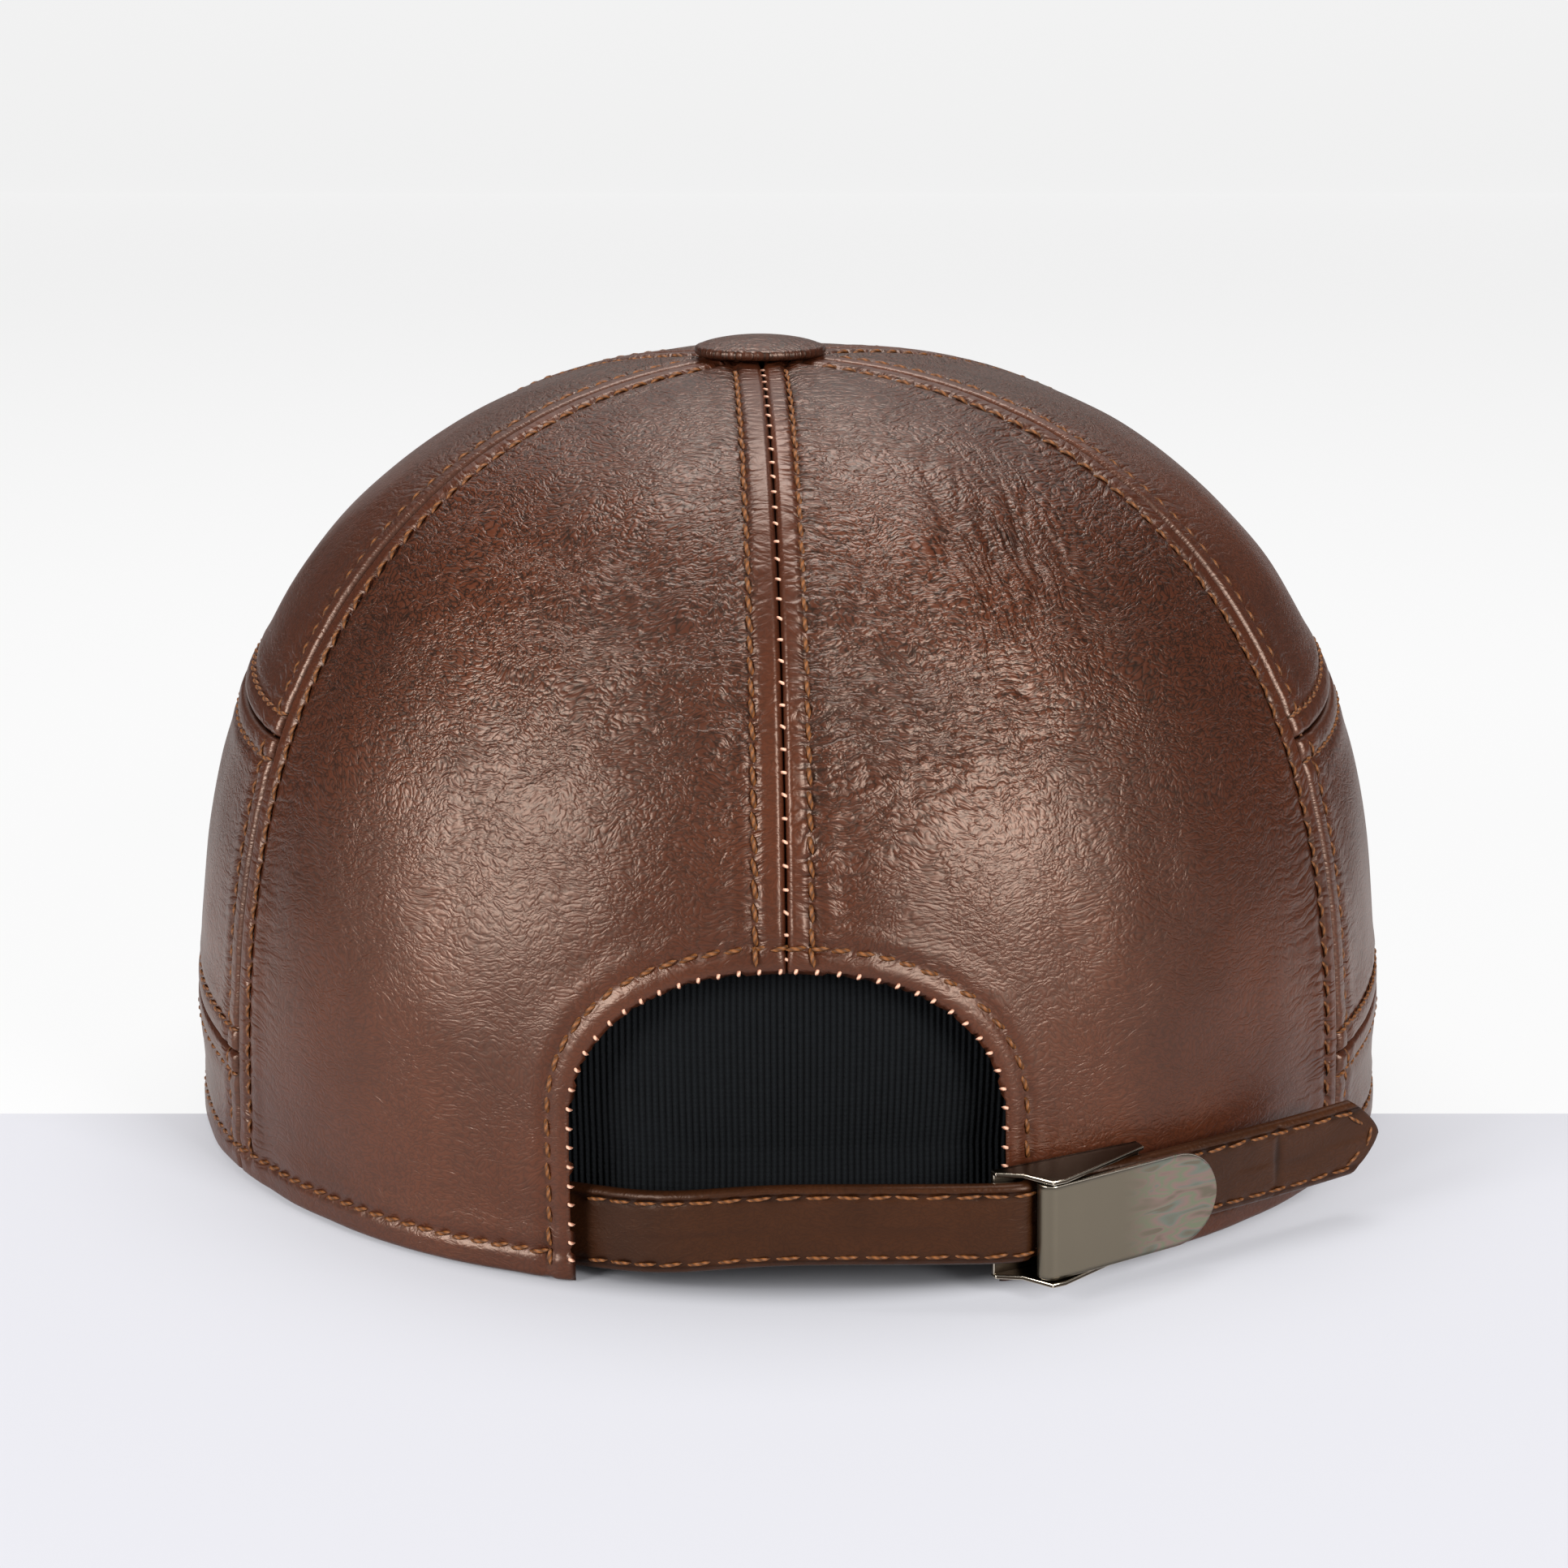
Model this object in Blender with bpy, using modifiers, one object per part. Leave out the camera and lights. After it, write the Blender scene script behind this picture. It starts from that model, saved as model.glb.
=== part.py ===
"""Leather baseball cap, seen from behind: six sewn gores, a stiff peak, a covered top button,
a half-moon opening with a knit panel behind it, and a strap held by a clip buckle with a lever.

Metres, +Z up. The back of the cap faces -Y and the peak points to +Y. Each piece is worked out from
the centre of the head opening, on the surface that the cap rests on. The whole cap is then centred
over the origin. Azimuth is measured round the crown from the centre of the back, positive towards +X.
"""

import math

import bmesh
import bpy
from mathutils import Matrix, Vector

# Crown, outer faces. Its plan is two half ellipses and its wall a superellipse.
CROWN_HALF_WIDTH = 0.0945
CROWN_BACK_DEPTH = 0.0895
CROWN_FRONT_DEPTH = 0.1010
CROWN_HEIGHT = 0.1185
CROWN_WIDTH_POWER = 2.3
CROWN_HEIGHT_POWER = 2.8
POLE_SIDE_SHIFT = -0.0043
POLE_BACK_SHIFT = -0.0080
SEAM_DIP = 0.0008

# Leather and clearances
LEATHER = 0.0018
SEAM_GAP = 0.0006
PART_GAP = 0.0003

# Gores: seams every 60 degrees. Each side gore is cut across at two heights.
GORE_ANGLE = math.radians(60)
SIDE_LOW_SEAM = 0.0203
SIDE_HIGH_SEAM = 0.0677
POLE_HOLE_RADIUS = 0.0026

# Half-moon opening at the back
OPENING_HALF_WIDTH = 0.0291
OPENING_HEIGHT = 0.0450
OPENING_ARCH_RISE = 0.0215
OPENING_ARCH_POWER = 2.2

# Peak
PEAK_LENGTH = 0.0710
PEAK_HALF_WIDTH = 0.0890
PEAK_OUTLINE_POWER = 2.3
PEAK_THICKNESS = 0.0032
PEAK_SLOPE = 0.12
PEAK_BEND_RADIUS = 0.180
PEAK_TUCK = 0.0014
PEAK_END_AZIMUTH = math.radians(114)
PEAK_EDGE_ROUNDING = 0.0009
HEM_RISE_START = 0.0080
HEM_RISE_LEAD = 0.0060

# Top button
BUTTON_RADIUS = 0.0100
BUTTON_EDGE = 0.0016
BUTTON_DOME = 0.0014
BUTTON_POST_RADIUS = 0.0016
BUTTON_POST_LENGTH = 0.0045

# Knit panel behind the opening
KNIT_THICKNESS = 0.0016
KNIT_OVERLAP = 0.0130
KNIT_BOTTOM = 0.0020
KNIT_DENT = 0.0030

# Strap
STRAP_WIDTH = 0.0113
STRAP_THICKNESS = 0.0022
STRAP_HEIGHT = 0.0107
STRAP_ANCHOR_HEIGHT = 0.0080
STRAP_ANCHOR_LENGTH = 0.0150
STRAP_TAIL_AZIMUTH = math.radians(54.5)
STRAP_TAIL_LIFT = 0.0105
STRAP_TAIL_HEIGHT = 0.0120
STRAP_TIP = 0.0050
STRAP_BULGE = 0.0008

# Clip buckle: a channel with two rails, a cross pin and a lever on it
BUCKLE_AZIMUTH = math.radians(26)
BUCKLE_HEIGHT = 0.0108
BUCKLE_TILT = math.radians(1.3)
TAB_THICKNESS = 0.0012
PLATE_THICKNESS = 0.0008
RAIL_THICKNESS = 0.0006
RAIL_TO_LEVER = 0.0003
LEVER_WIDTH = 0.0136
LEVER_LENGTH = 0.0270
LEVER_THICKNESS = 0.0008
BARREL_RADIUS = 0.0018
PIN_RADIUS = 0.0007
FRAME_BEFORE_PIN = 0.0062
FRAME_AFTER_PIN = 0.0165
PIN_BEFORE_SEAT = 0.0100
STRAP_RISE_IN_BUCKLE = 0.0008

SEAT_TO_PIN = PART_GAP + BARREL_RADIUS
RAIL_HALF_SPAN = LEVER_WIDTH / 2 + RAIL_TO_LEVER
PLATE_OUT = PART_GAP + TAB_THICKNESS + PART_GAP
STRAP_OUT = PLATE_OUT + PLATE_THICKNESS + PART_GAP + STRAP_THICKNESS / 2
PIN_OUT = STRAP_OUT + STRAP_THICKNESS / 2 + SEAT_TO_PIN
PIN_ALONG = -PIN_BEFORE_SEAT

LEATHER_BROWN = (0.115, 0.043, 0.023, 1)
KNIT_BLACK = (0.008, 0.009, 0.010, 1)
GUNMETAL = (0.30, 0.28, 0.25, 1)


def clear_scene():
    for old in list(bpy.data.objects):
        bpy.data.objects.remove(old, do_unlink=True)


def new_collection(name):
    made = bpy.data.collections.new(name)
    bpy.context.scene.collection.children.link(made)
    return made


def new_material(name, colour, roughness, metallic):
    material = bpy.data.materials.new(name)
    material.use_nodes = True
    shader = material.node_tree.nodes["Principled BSDF"]
    shader.inputs["Base Color"].default_value = colour
    shader.inputs["Roughness"].default_value = roughness
    shader.inputs["Metallic"].default_value = metallic
    return material


def add_object(name, mesh, collection, material=None):
    made = bpy.data.objects.new(name, mesh)
    collection.objects.link(made)
    if material:
        mesh.materials.append(material)
    return made


def as_cutter(obj):
    obj.hide_render = True
    obj.display_type = "WIRE"
    return obj


def add_boolean(obj, other, operation):
    modifier = obj.modifiers.new(operation.lower(), "BOOLEAN")
    modifier.operation = operation
    modifier.object = other


def mapped_grid(name, columns, rows, place):
    """An open sheet: a unit grid whose corner (u, v) goes to place(u, v)."""
    sheet = bmesh.new()
    bmesh.ops.create_grid(sheet, x_segments=columns, y_segments=rows, size=0.5)
    for corner in sheet.verts:
        corner.co = place(corner.co.x + 0.5, corner.co.y + 0.5)
    mesh = bpy.data.meshes.new(name)
    sheet.to_mesh(mesh)
    sheet.free()
    return mesh


def add_sheet(name, columns, rows, place, thickness, collection, material, offset=-1.0):
    """A sheet with thickness. An offset of -1 grows the wall inwards from the mapped face."""
    made = add_object(name, mapped_grid(name, columns, rows, place), collection, material)
    wall = made.modifiers.new("wall", "SOLIDIFY")
    wall.thickness = thickness
    wall.offset = offset
    return made


def prism_between(name, outline, low, high, collection):
    """A mesh prism: the outline, points in the XY plane, filled and carried from z low to z high."""
    curve = bpy.data.curves.new(name, "CURVE")
    curve.dimensions = "2D"
    curve.fill_mode = "BOTH"
    curve.extrude = (high - low) / 2
    spline = curve.splines.new("POLY")
    spline.points.add(len(outline) - 1)
    for point, (x, y) in zip(spline.points, outline):
        point.co = (x, y, 0, 1)
    spline.use_cyclic_u = True
    drawn = add_object(name + "_outline", curve, collection)
    bpy.context.view_layer.update()
    graph = bpy.context.evaluated_depsgraph_get()
    mesh = bpy.data.meshes.new_from_object(drawn.evaluated_get(graph))
    bpy.data.objects.remove(drawn)
    welded = bmesh.new()
    welded.from_mesh(mesh)
    bmesh.ops.remove_doubles(welded, verts=welded.verts, dist=1e-6)
    bmesh.ops.translate(welded, verts=welded.verts, vec=(0, 0, (high + low) / 2))
    bmesh.ops.recalc_face_normals(welded, faces=welded.faces)
    welded.to_mesh(mesh)
    welded.free()
    return add_object(name, mesh, collection)


# The crown's surface

def rim_plan(azimuth):
    """The hem's outer line, in plan."""
    depth = CROWN_BACK_DEPTH if math.cos(azimuth) > 0 else CROWN_FRONT_DEPTH
    return CROWN_HALF_WIDTH * math.sin(azimuth), -depth * math.cos(azimuth)


def crown_height(x, y):
    """The height of the crown over a point of its plan."""
    depth = CROWN_BACK_DEPTH if y < 0 else CROWN_FRONT_DEPTH
    share = min(1.0, math.hypot(x / CROWN_HALF_WIDTH, y / depth))
    return CROWN_HEIGHT * (1 - share**CROWN_WIDTH_POWER) ** (1 / CROWN_HEIGHT_POWER)


def crown_plan(azimuth, ring):
    """The plan of a gore line, straight from the hem, ring 1, to the pole, ring 0."""
    x, y = rim_plan(azimuth)
    return (
        POLE_SIDE_SHIFT * (1 - ring) + x * ring,
        POLE_BACK_SHIFT * (1 - ring) + y * ring,
    )


def smooth_crown_point(azimuth, ring):
    x, y = crown_plan(azimuth, ring)
    return Vector((x, y, crown_height(x, y)))


def crown_normal(azimuth, ring):
    """The outward normal, from two short steps on the surface. It stays level at the hem."""
    if ring > 0.999:
        x, y = rim_plan(azimuth)
        depth = CROWN_BACK_DEPTH if y < 0 else CROWN_FRONT_DEPTH
        return Vector((x / CROWN_HALF_WIDTH**2, y / depth**2, 0)).normalized()
    step = 1e-4
    across = smooth_crown_point(azimuth + step, ring) - smooth_crown_point(azimuth - step, ring)
    up = smooth_crown_point(azimuth, ring - step) - smooth_crown_point(azimuth, ring + step)
    return across.cross(up).normalized()


def seam_dip(azimuth):
    """How far a gore sinks into its two seams: all of SEAM_DIP at a seam, nothing mid-gore."""
    across = (azimuth / GORE_ANGLE) % 1.0
    return SEAM_DIP * (1 - math.sin(math.pi * across)) ** 2


def crown_point(azimuth, ring, outward=0.0):
    """A point of the outer face, or outward of it."""
    out = crown_normal(azimuth, ring) * (outward - seam_dip(azimuth))
    return smooth_crown_point(azimuth, ring) + out


def ring_at_height(azimuth, height):
    """The ring at which a gore line is this high, below the crown's flat top."""
    low, high = 0.3, 1.0
    if height <= 0:
        return 1.0
    for _ in range(40):
        middle = (low + high) / 2
        if smooth_crown_point(azimuth, middle).z > height:
            low = middle
        else:
            high = middle
    return (low + high) / 2


def wall_point(azimuth, height, outward):
    """A point beside the crown's wall at this height; below the hem the wall goes straight down."""
    point = crown_point(azimuth, ring_at_height(azimuth, height), outward)
    return Vector((point.x, point.y, height))


# Rows of a gore are evenly spaced along the curved wall by this share.
ROW_SPACING_POWER = 1.3


def ring_of_row(share):
    return math.cos(math.pi / 2 * share**ROW_SPACING_POWER) ** (2 / CROWN_WIDTH_POWER)


def row_of_ring(ring):
    turn = math.acos(min(1.0, ring ** (CROWN_WIDTH_POWER / 2)))
    return (turn / (math.pi / 2)) ** (1 / ROW_SPACING_POWER)


HEM_SKIRT = 0.0040


def add_gore(name, side, first_seam, low, high, columns, rows, collection, material):
    """One leather panel between two seams, from height low to height high, or to the pole.

    side is -1 or 1, first_seam counts seams from the back. A panel that starts at the hem is made
    with a skirt below it, which the hem cutter trims.
    """
    start = side * first_seam * GORE_ANGLE
    end = start + side * GORE_ANGLE
    start, end = min(start, end), max(start, end)
    hole = POLE_HOLE_RADIUS / CROWN_BACK_DEPTH

    def place(u, v):
        middle = (start + end) / 2
        bottom = 0.0 if low is None else row_of_ring(ring_at_height(middle, low + SEAM_GAP / 2))
        top = row_of_ring(hole)
        if high is not None:
            top = row_of_ring(ring_at_height(middle, high - SEAM_GAP / 2))
        skirt_rows = 1 if low is None else 0
        row = round(v * rows)
        if row < skirt_rows:
            ring = 1.0
        else:
            ring = ring_of_row(bottom + (top - bottom) * (row - skirt_rows) / (rows - skirt_rows))
        inset = SEAM_GAP / 2 / (ring * CROWN_BACK_DEPTH)
        azimuth = start + inset + (end - start - 2 * inset) * u
        if low is not None and row == 0:
            ring = ring_at_height(azimuth, low + SEAM_GAP / 2)
        if high is not None and row == rows:
            ring = ring_at_height(azimuth, high - SEAM_GAP / 2)
        point = crown_point(azimuth, ring)
        if row < skirt_rows:
            point.z = -HEM_SKIRT
        return point

    return add_sheet(name, columns, rows, place, LEATHER, collection, material)


# The peak

def peak_outline(turn):
    """The peak's front edge in plan, from its right corner at turn 0 to its tip at 90 degrees."""
    corner_y = -CROWN_FRONT_DEPTH * math.cos(PEAK_END_AZIMUTH)
    reach = CROWN_FRONT_DEPTH + PEAK_LENGTH - corner_y
    power = 2 / PEAK_OUTLINE_POWER
    return (
        PEAK_HALF_WIDTH * max(0.0, math.cos(turn)) ** power,
        corner_y + reach * math.sin(turn) ** power,
    )


def peak_fall(x, y):
    """How far the peak's upper face lies below its root at the middle of the front hem."""
    return PEAK_SLOPE * (y - CROWN_FRONT_DEPTH) + x * x / (2 * PEAK_BEND_RADIUS)


def peak_root_height():
    """The height that lets the peak's side edges touch the surface the cap rests on."""
    highest = 0.0
    for step in range(91):
        x, y = peak_outline(math.radians(step))
        upright = 1 / math.hypot(1, PEAK_SLOPE, x / PEAK_BEND_RADIUS)
        highest = max(highest, peak_fall(x, y) + PEAK_THICKNESS * upright)
    return highest


PEAK_ROOT_HEIGHT = peak_root_height()


def peak_top(x, y):
    return PEAK_ROOT_HEIGHT - peak_fall(x, y)


def add_peak(collection, material):
    """A bent, covered board whose rear edge is tucked under the front hem."""
    tuck = 1 - (LEATHER + SEAM_DIP + PEAK_TUCK) / CROWN_HALF_WIDTH

    def place(u, v):
        side = 1 if u >= 0.5 else -1
        turn = math.pi / 2 * (1 - abs(2 * u - 1))
        outer_x, outer_y = peak_outline(turn)
        azimuth = PEAK_END_AZIMUTH + (math.pi - PEAK_END_AZIMUTH) * turn / (math.pi / 2)
        inner_x, inner_y = rim_plan(azimuth)
        x = side * (inner_x * tuck * (1 - v) + outer_x * v)
        y = inner_y * tuck * (1 - v) + outer_y * v
        return Vector((x, y, peak_top(x, y)))

    peak = add_sheet("peak", 28, 5, place, PEAK_THICKNESS, collection, material)
    rounding = peak.modifiers.new("rounding", "BEVEL")
    rounding.width = PEAK_EDGE_ROUNDING
    rounding.segments = 2
    rounding.limit_method = "ANGLE"
    rounding.angle_limit = math.radians(50)
    return peak


def hem_height(x, y):
    """The hem lies flat at the back and sides, then climbs onto the peak just before its corner."""
    rise_end = -CROWN_FRONT_DEPTH * math.cos(PEAK_END_AZIMUTH) - HEM_RISE_LEAD
    climb = min(1.0, max(0.0, (y - HEM_RISE_START) / (rise_end - HEM_RISE_START)))
    return climb * climb * (3 - 2 * climb) * (peak_top(x, y) + PART_GAP)


def add_hem_cutter(collection):
    """A block that reaches up to the hem's line and trims the skirts off the lower panels."""
    reach = 2 * max(CROWN_HALF_WIDTH, CROWN_FRONT_DEPTH)
    depth = 0.03
    rows = 16

    def place(u, v):
        x = (u - 0.5) * 1.2 * reach
        row = round(v * rows)
        run = CROWN_FRONT_DEPTH * 1.1 - HEM_RISE_START
        y = -reach if row == 0 else HEM_RISE_START + run * (row - 1) / (rows - 1)
        return Vector((x, y, hem_height(x, y)))

    block = bmesh.new()
    mesh = mapped_grid("hem_cutter", 16, rows, place)
    block.from_mesh(mesh)
    made = bmesh.ops.extrude_face_region(block, geom=list(block.faces))
    for item in made["geom"]:
        if isinstance(item, bmesh.types.BMVert):
            item.co.z = -depth
    bmesh.ops.recalc_face_normals(block, faces=block.faces)
    block.to_mesh(mesh)
    block.free()
    return as_cutter(add_object("hem_cutter", mesh, collection))


def add_opening_cutter(collection):
    """The half-moon opening: straight sides under a flattened arch, carried through the back wall."""
    arch_base = OPENING_HEIGHT - OPENING_ARCH_RISE
    below = -2 * HEM_SKIRT
    outline = [(OPENING_HALF_WIDTH, below)]
    steps = 20
    power = 2 / OPENING_ARCH_POWER
    for step in range(steps + 1):
        turn = math.pi * step / steps
        reach = math.copysign(abs(math.cos(turn)) ** power, math.cos(turn))
        rise = abs(math.sin(turn)) ** power
        outline.append((OPENING_HALF_WIDTH * reach, arch_base + OPENING_ARCH_RISE * rise))
    outline.append((-OPENING_HALF_WIDTH, below))
    cutter = prism_between(
        "opening_cutter", outline, CROWN_BACK_DEPTH / 2, CROWN_BACK_DEPTH * 1.2, collection
    )
    cutter.data.transform(Matrix.Rotation(math.pi / 2, 4, "X"))
    return as_cutter(cutter)


# Button, knit panel and strap

def add_button(collection, material):
    """A covered button: a low dome on a post that goes through the pole's hole."""
    seat = PART_GAP
    profile = [
        (0.0, BUTTON_EDGE + BUTTON_DOME),
        (BUTTON_RADIUS * 0.45, BUTTON_EDGE + BUTTON_DOME * 0.86),
        (BUTTON_RADIUS * 0.80, BUTTON_EDGE + BUTTON_DOME * 0.42),
        (BUTTON_RADIUS * 0.96, BUTTON_EDGE * 0.90),
        (BUTTON_RADIUS, BUTTON_EDGE * 0.45),
        (BUTTON_RADIUS * 0.96, 0.0),
        (BUTTON_POST_RADIUS, 0.0),
        (BUTTON_POST_RADIUS, -BUTTON_POST_LENGTH),
        (0.0, -BUTTON_POST_LENGTH),
    ]
    turned = bmesh.new()
    corners = [turned.verts.new((x, 0, z + seat)) for x, z in profile]
    for first, second in zip(corners, corners[1:]):
        turned.edges.new((first, second))
    mesh = bpy.data.meshes.new("top_button")
    turned.to_mesh(mesh)
    turned.free()
    button = add_object("top_button", mesh, collection, material)
    spin = button.modifiers.new("turned", "SCREW")
    spin.steps = spin.render_steps = 28
    spin.use_merge_vertices = True
    spin.merge_threshold = 0.00001
    near_pole = 0.02
    normal = Vector((0, 0, 0))
    for quarter in range(4):
        normal += crown_normal(quarter * math.pi / 2 + 0.1, near_pole)
    normal.normalize()
    button.rotation_mode = "QUATERNION"
    button.rotation_quaternion = normal.to_track_quat("Z", "Y")
    button.location = smooth_crown_point(0.1, near_pole / 4)
    return button


def knit_inset(azimuth, height):
    """How far inside the crown's outer face the knit lies: close to the leather at its upper edge,
    and behind the strap's sewn end lower down, with a soft dent to the right of the middle."""
    close = LEATHER + PART_GAP
    behind_strap = close + STRAP_THICKNESS + PART_GAP * 2
    clear_height = STRAP_HEIGHT + STRAP_WIDTH / 2 + 0.002
    top = OPENING_HEIGHT + KNIT_OVERLAP
    rise = min(1.0, max(0.0, (height - clear_height) / (top - clear_height)))
    half_angle = OPENING_HALF_WIDTH / CROWN_BACK_DEPTH
    across = (azimuth - 0.3 * half_angle) / half_angle
    low_share = max(0.0, 1 - abs(height - clear_height) / OPENING_HEIGHT)
    dent = KNIT_DENT * max(0.0, 1 - across * across) * low_share**2
    return behind_strap + (close - behind_strap) * rise + dent


def add_knit_panel(collection, material):
    """The ribbed panel sewn inside the crown, behind the opening."""
    half_angle = (OPENING_HALF_WIDTH + KNIT_OVERLAP) / CROWN_BACK_DEPTH
    top = OPENING_HEIGHT + KNIT_OVERLAP

    def place(u, v):
        azimuth = half_angle * (2 * u - 1)
        height = KNIT_BOTTOM + (top - KNIT_BOTTOM) * v
        ring = ring_at_height(azimuth, height)
        level_dip = SEAM_DIP - seam_dip(azimuth)
        return crown_point(azimuth, ring, -knit_inset(azimuth, height) - level_dip)

    return add_sheet("knit_panel", 16, 12, place, KNIT_THICKNESS, collection, material)


def buckle_frame_axes():
    """The buckle's own frame: x along the strap, y outward, z down, from the crown's outer face."""
    seat = wall_point(BUCKLE_AZIMUTH, BUCKLE_HEIGHT, 0)
    out = crown_normal(BUCKLE_AZIMUTH, ring_at_height(BUCKLE_AZIMUTH, BUCKLE_HEIGHT))
    out = Vector((out.x, out.y, 0)).normalized()
    down = Vector((0, 0, -1))
    axes = Matrix((out.cross(down), out, down)).transposed().to_4x4()
    return Matrix.Translation(seat) @ axes @ Matrix.Rotation(BUCKLE_TILT, 4, "Y")


# The strap lies straight under this share of the lever. Its tail bends at the next share of its
# angle past the buckle, where it has taken these shares of its lift and rise.
UNDER_LEVER_SHARE = 0.6
TAIL_BEND_SHARE = 0.68
TAIL_BEND_LIFT_SHARE = 0.22
TAIL_BEND_RISE_SHARE = 0.55

# Where the strap comes out across the opening, and how far it is still inside there.
COME_OUT_SHARE = 0.55
COME_OUT_DEPTH_SHARE = 0.15

ROUTE_STEPS = 12


def strap_route():
    """The strap's middle line: sewn inside the left edge of the opening, out across it, straight
    through the buckle and past its lever, with a free tail that leaves the crown."""
    inside = -(LEATHER + SEAM_DIP + PART_GAP + STRAP_THICKNESS / 2)
    edge_angle = OPENING_HALF_WIDTH / CROWN_BACK_DEPTH
    anchor_angle = STRAP_ANCHOR_LENGTH / CROWN_BACK_DEPTH
    buckle = buckle_frame_axes()
    before, middle, after = (
        buckle @ Vector((PIN_ALONG + along, STRAP_OUT, -STRAP_RISE_IN_BUCKLE))
        for along in (-FRAME_BEFORE_PIN, 0, UNDER_LEVER_SHARE * LEVER_LENGTH)
    )
    late = BUCKLE_AZIMUTH + TAIL_BEND_SHARE * (STRAP_TAIL_AZIMUTH - BUCKLE_AZIMUTH)
    late_out = STRAP_OUT + TAIL_BEND_LIFT_SHARE * (STRAP_TAIL_LIFT - STRAP_OUT)
    late_height = BUCKLE_HEIGHT + TAIL_BEND_RISE_SHARE * (STRAP_TAIL_HEIGHT - BUCKLE_HEIGHT)
    rising = (STRAP_ANCHOR_HEIGHT + STRAP_HEIGHT) / 2
    return [
        wall_point(-edge_angle - anchor_angle, STRAP_ANCHOR_HEIGHT, inside),
        wall_point(-edge_angle - anchor_angle * 0.5, STRAP_ANCHOR_HEIGHT, inside),
        wall_point(-edge_angle, STRAP_ANCHOR_HEIGHT, inside),
        wall_point(-edge_angle * COME_OUT_SHARE, rising, inside * COME_OUT_DEPTH_SHARE + SEAM_DIP),
        wall_point(0, STRAP_HEIGHT, SEAM_DIP + STRAP_BULGE),
        before,
        middle,
        after,
        wall_point(late, late_height, late_out),
        wall_point(STRAP_TAIL_AZIMUTH, STRAP_TAIL_HEIGHT, STRAP_TAIL_LIFT),
    ]


def smooth_route(points):
    """Evenly spaced points on a Catmull-Rom curve through the given points."""
    ends = [points[0] * 2 - points[1]] + points + [points[-1] * 2 - points[-2]]
    fine = []
    for a, b, c, d in zip(ends, ends[1:], ends[2:], ends[3:]):
        for step in range(ROUTE_STEPS):
            t = step / ROUTE_STEPS
            fine.append(
                0.5
                * (
                    2 * b
                    + (c - a) * t
                    + (2 * a - 5 * b + 4 * c - d) * t**2
                    + (3 * b - a - 3 * c + d) * t**3
                )
            )
    fine.append(points[-1])
    lengths = [0.0]
    for first, second in zip(fine, fine[1:]):
        lengths.append(lengths[-1] + (second - first).length)

    def at(distance):
        for index in range(len(fine) - 1):
            if distance <= lengths[index + 1]:
                run = lengths[index + 1] - lengths[index]
                return fine[index].lerp(fine[index + 1], (distance - lengths[index]) / run)
        return fine[-1] + (fine[-1] - fine[-2]).normalized() * (distance - lengths[-1])

    return at, lengths[-1]


def add_strap(collection, material):
    """A folded leather strap with a pointed free end, standing on edge round the hem."""
    at, length = smooth_route(strap_route())

    def place(u, v):
        edge = 2 * v - 1
        distance = u * (length - STRAP_TIP * abs(edge) ** 1.5)
        point = at(distance)
        return Vector((point.x, point.y, point.z + edge * STRAP_WIDTH / 2))

    return add_sheet("strap", 44, 4, place, STRAP_THICKNESS, collection, material, offset=0.0)


def add_tab(collection, material):
    """The short leather tab that holds the buckle to the crown. It is hidden behind the buckle,
    and reaches from the opening's edge to where the buckle lies against the crown."""
    start = math.asin((OPENING_HALF_WIDTH + PART_GAP) / CROWN_HALF_WIDTH)

    def place(u, v):
        azimuth = start + (BUCKLE_AZIMUTH - start) * u
        height = BUCKLE_HEIGHT + (v - 0.5) * STRAP_WIDTH
        flat = PART_GAP + TAB_THICKNESS + seam_dip(azimuth) - seam_dip(BUCKLE_AZIMUTH)
        return wall_point(azimuth, height, flat)

    return add_sheet("buckle_tab", 8, 2, place, TAB_THICKNESS, collection, material)


# Clip buckle, in its own frame: x along the strap, y outward, z down

def box_mesh(name, low, high, collection):
    block = bmesh.new()
    bmesh.ops.create_cube(block, size=1.0)
    for corner in block.verts:
        for axis in range(3):
            corner.co[axis] = high[axis] if corner.co[axis] > 0 else low[axis]
    mesh = bpy.data.meshes.new(name)
    block.to_mesh(mesh)
    block.free()
    return add_object(name, mesh, collection)


def rod_mesh(name, radius, half_length, sides, collection):
    """An upright rod on the pin's axis."""
    rod = bmesh.new()
    bmesh.ops.create_cone(
        rod, cap_ends=True, segments=sides, radius1=radius, radius2=radius, depth=2 * half_length
    )
    bmesh.ops.translate(rod, verts=rod.verts, vec=(PIN_ALONG, PIN_OUT, 0))
    mesh = bpy.data.meshes.new(name)
    rod.to_mesh(mesh)
    rod.free()
    return add_object(name, mesh, collection)


def rail_outline():
    """A rail's side view: low at its ends, highest over the pin."""
    top = PIN_OUT + BARREL_RADIUS + PART_GAP
    low = PLATE_OUT
    left = PIN_ALONG - FRAME_BEFORE_PIN
    right = PIN_ALONG + FRAME_AFTER_PIN
    strap_top = STRAP_OUT + STRAP_THICKNESS / 2
    return [
        (left, low),
        (right, low),
        (right, low + 0.65 * (strap_top - low)),
        (PIN_ALONG + 0.6 * FRAME_AFTER_PIN, strap_top + 0.3 * (top - strap_top)),
        (PIN_ALONG + 0.0012, top),
        (PIN_ALONG - 0.0008, top),
        (PIN_ALONG - 0.5 * FRAME_BEFORE_PIN, strap_top),
        (left, low + 0.4 * (strap_top - low)),
    ]


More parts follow.
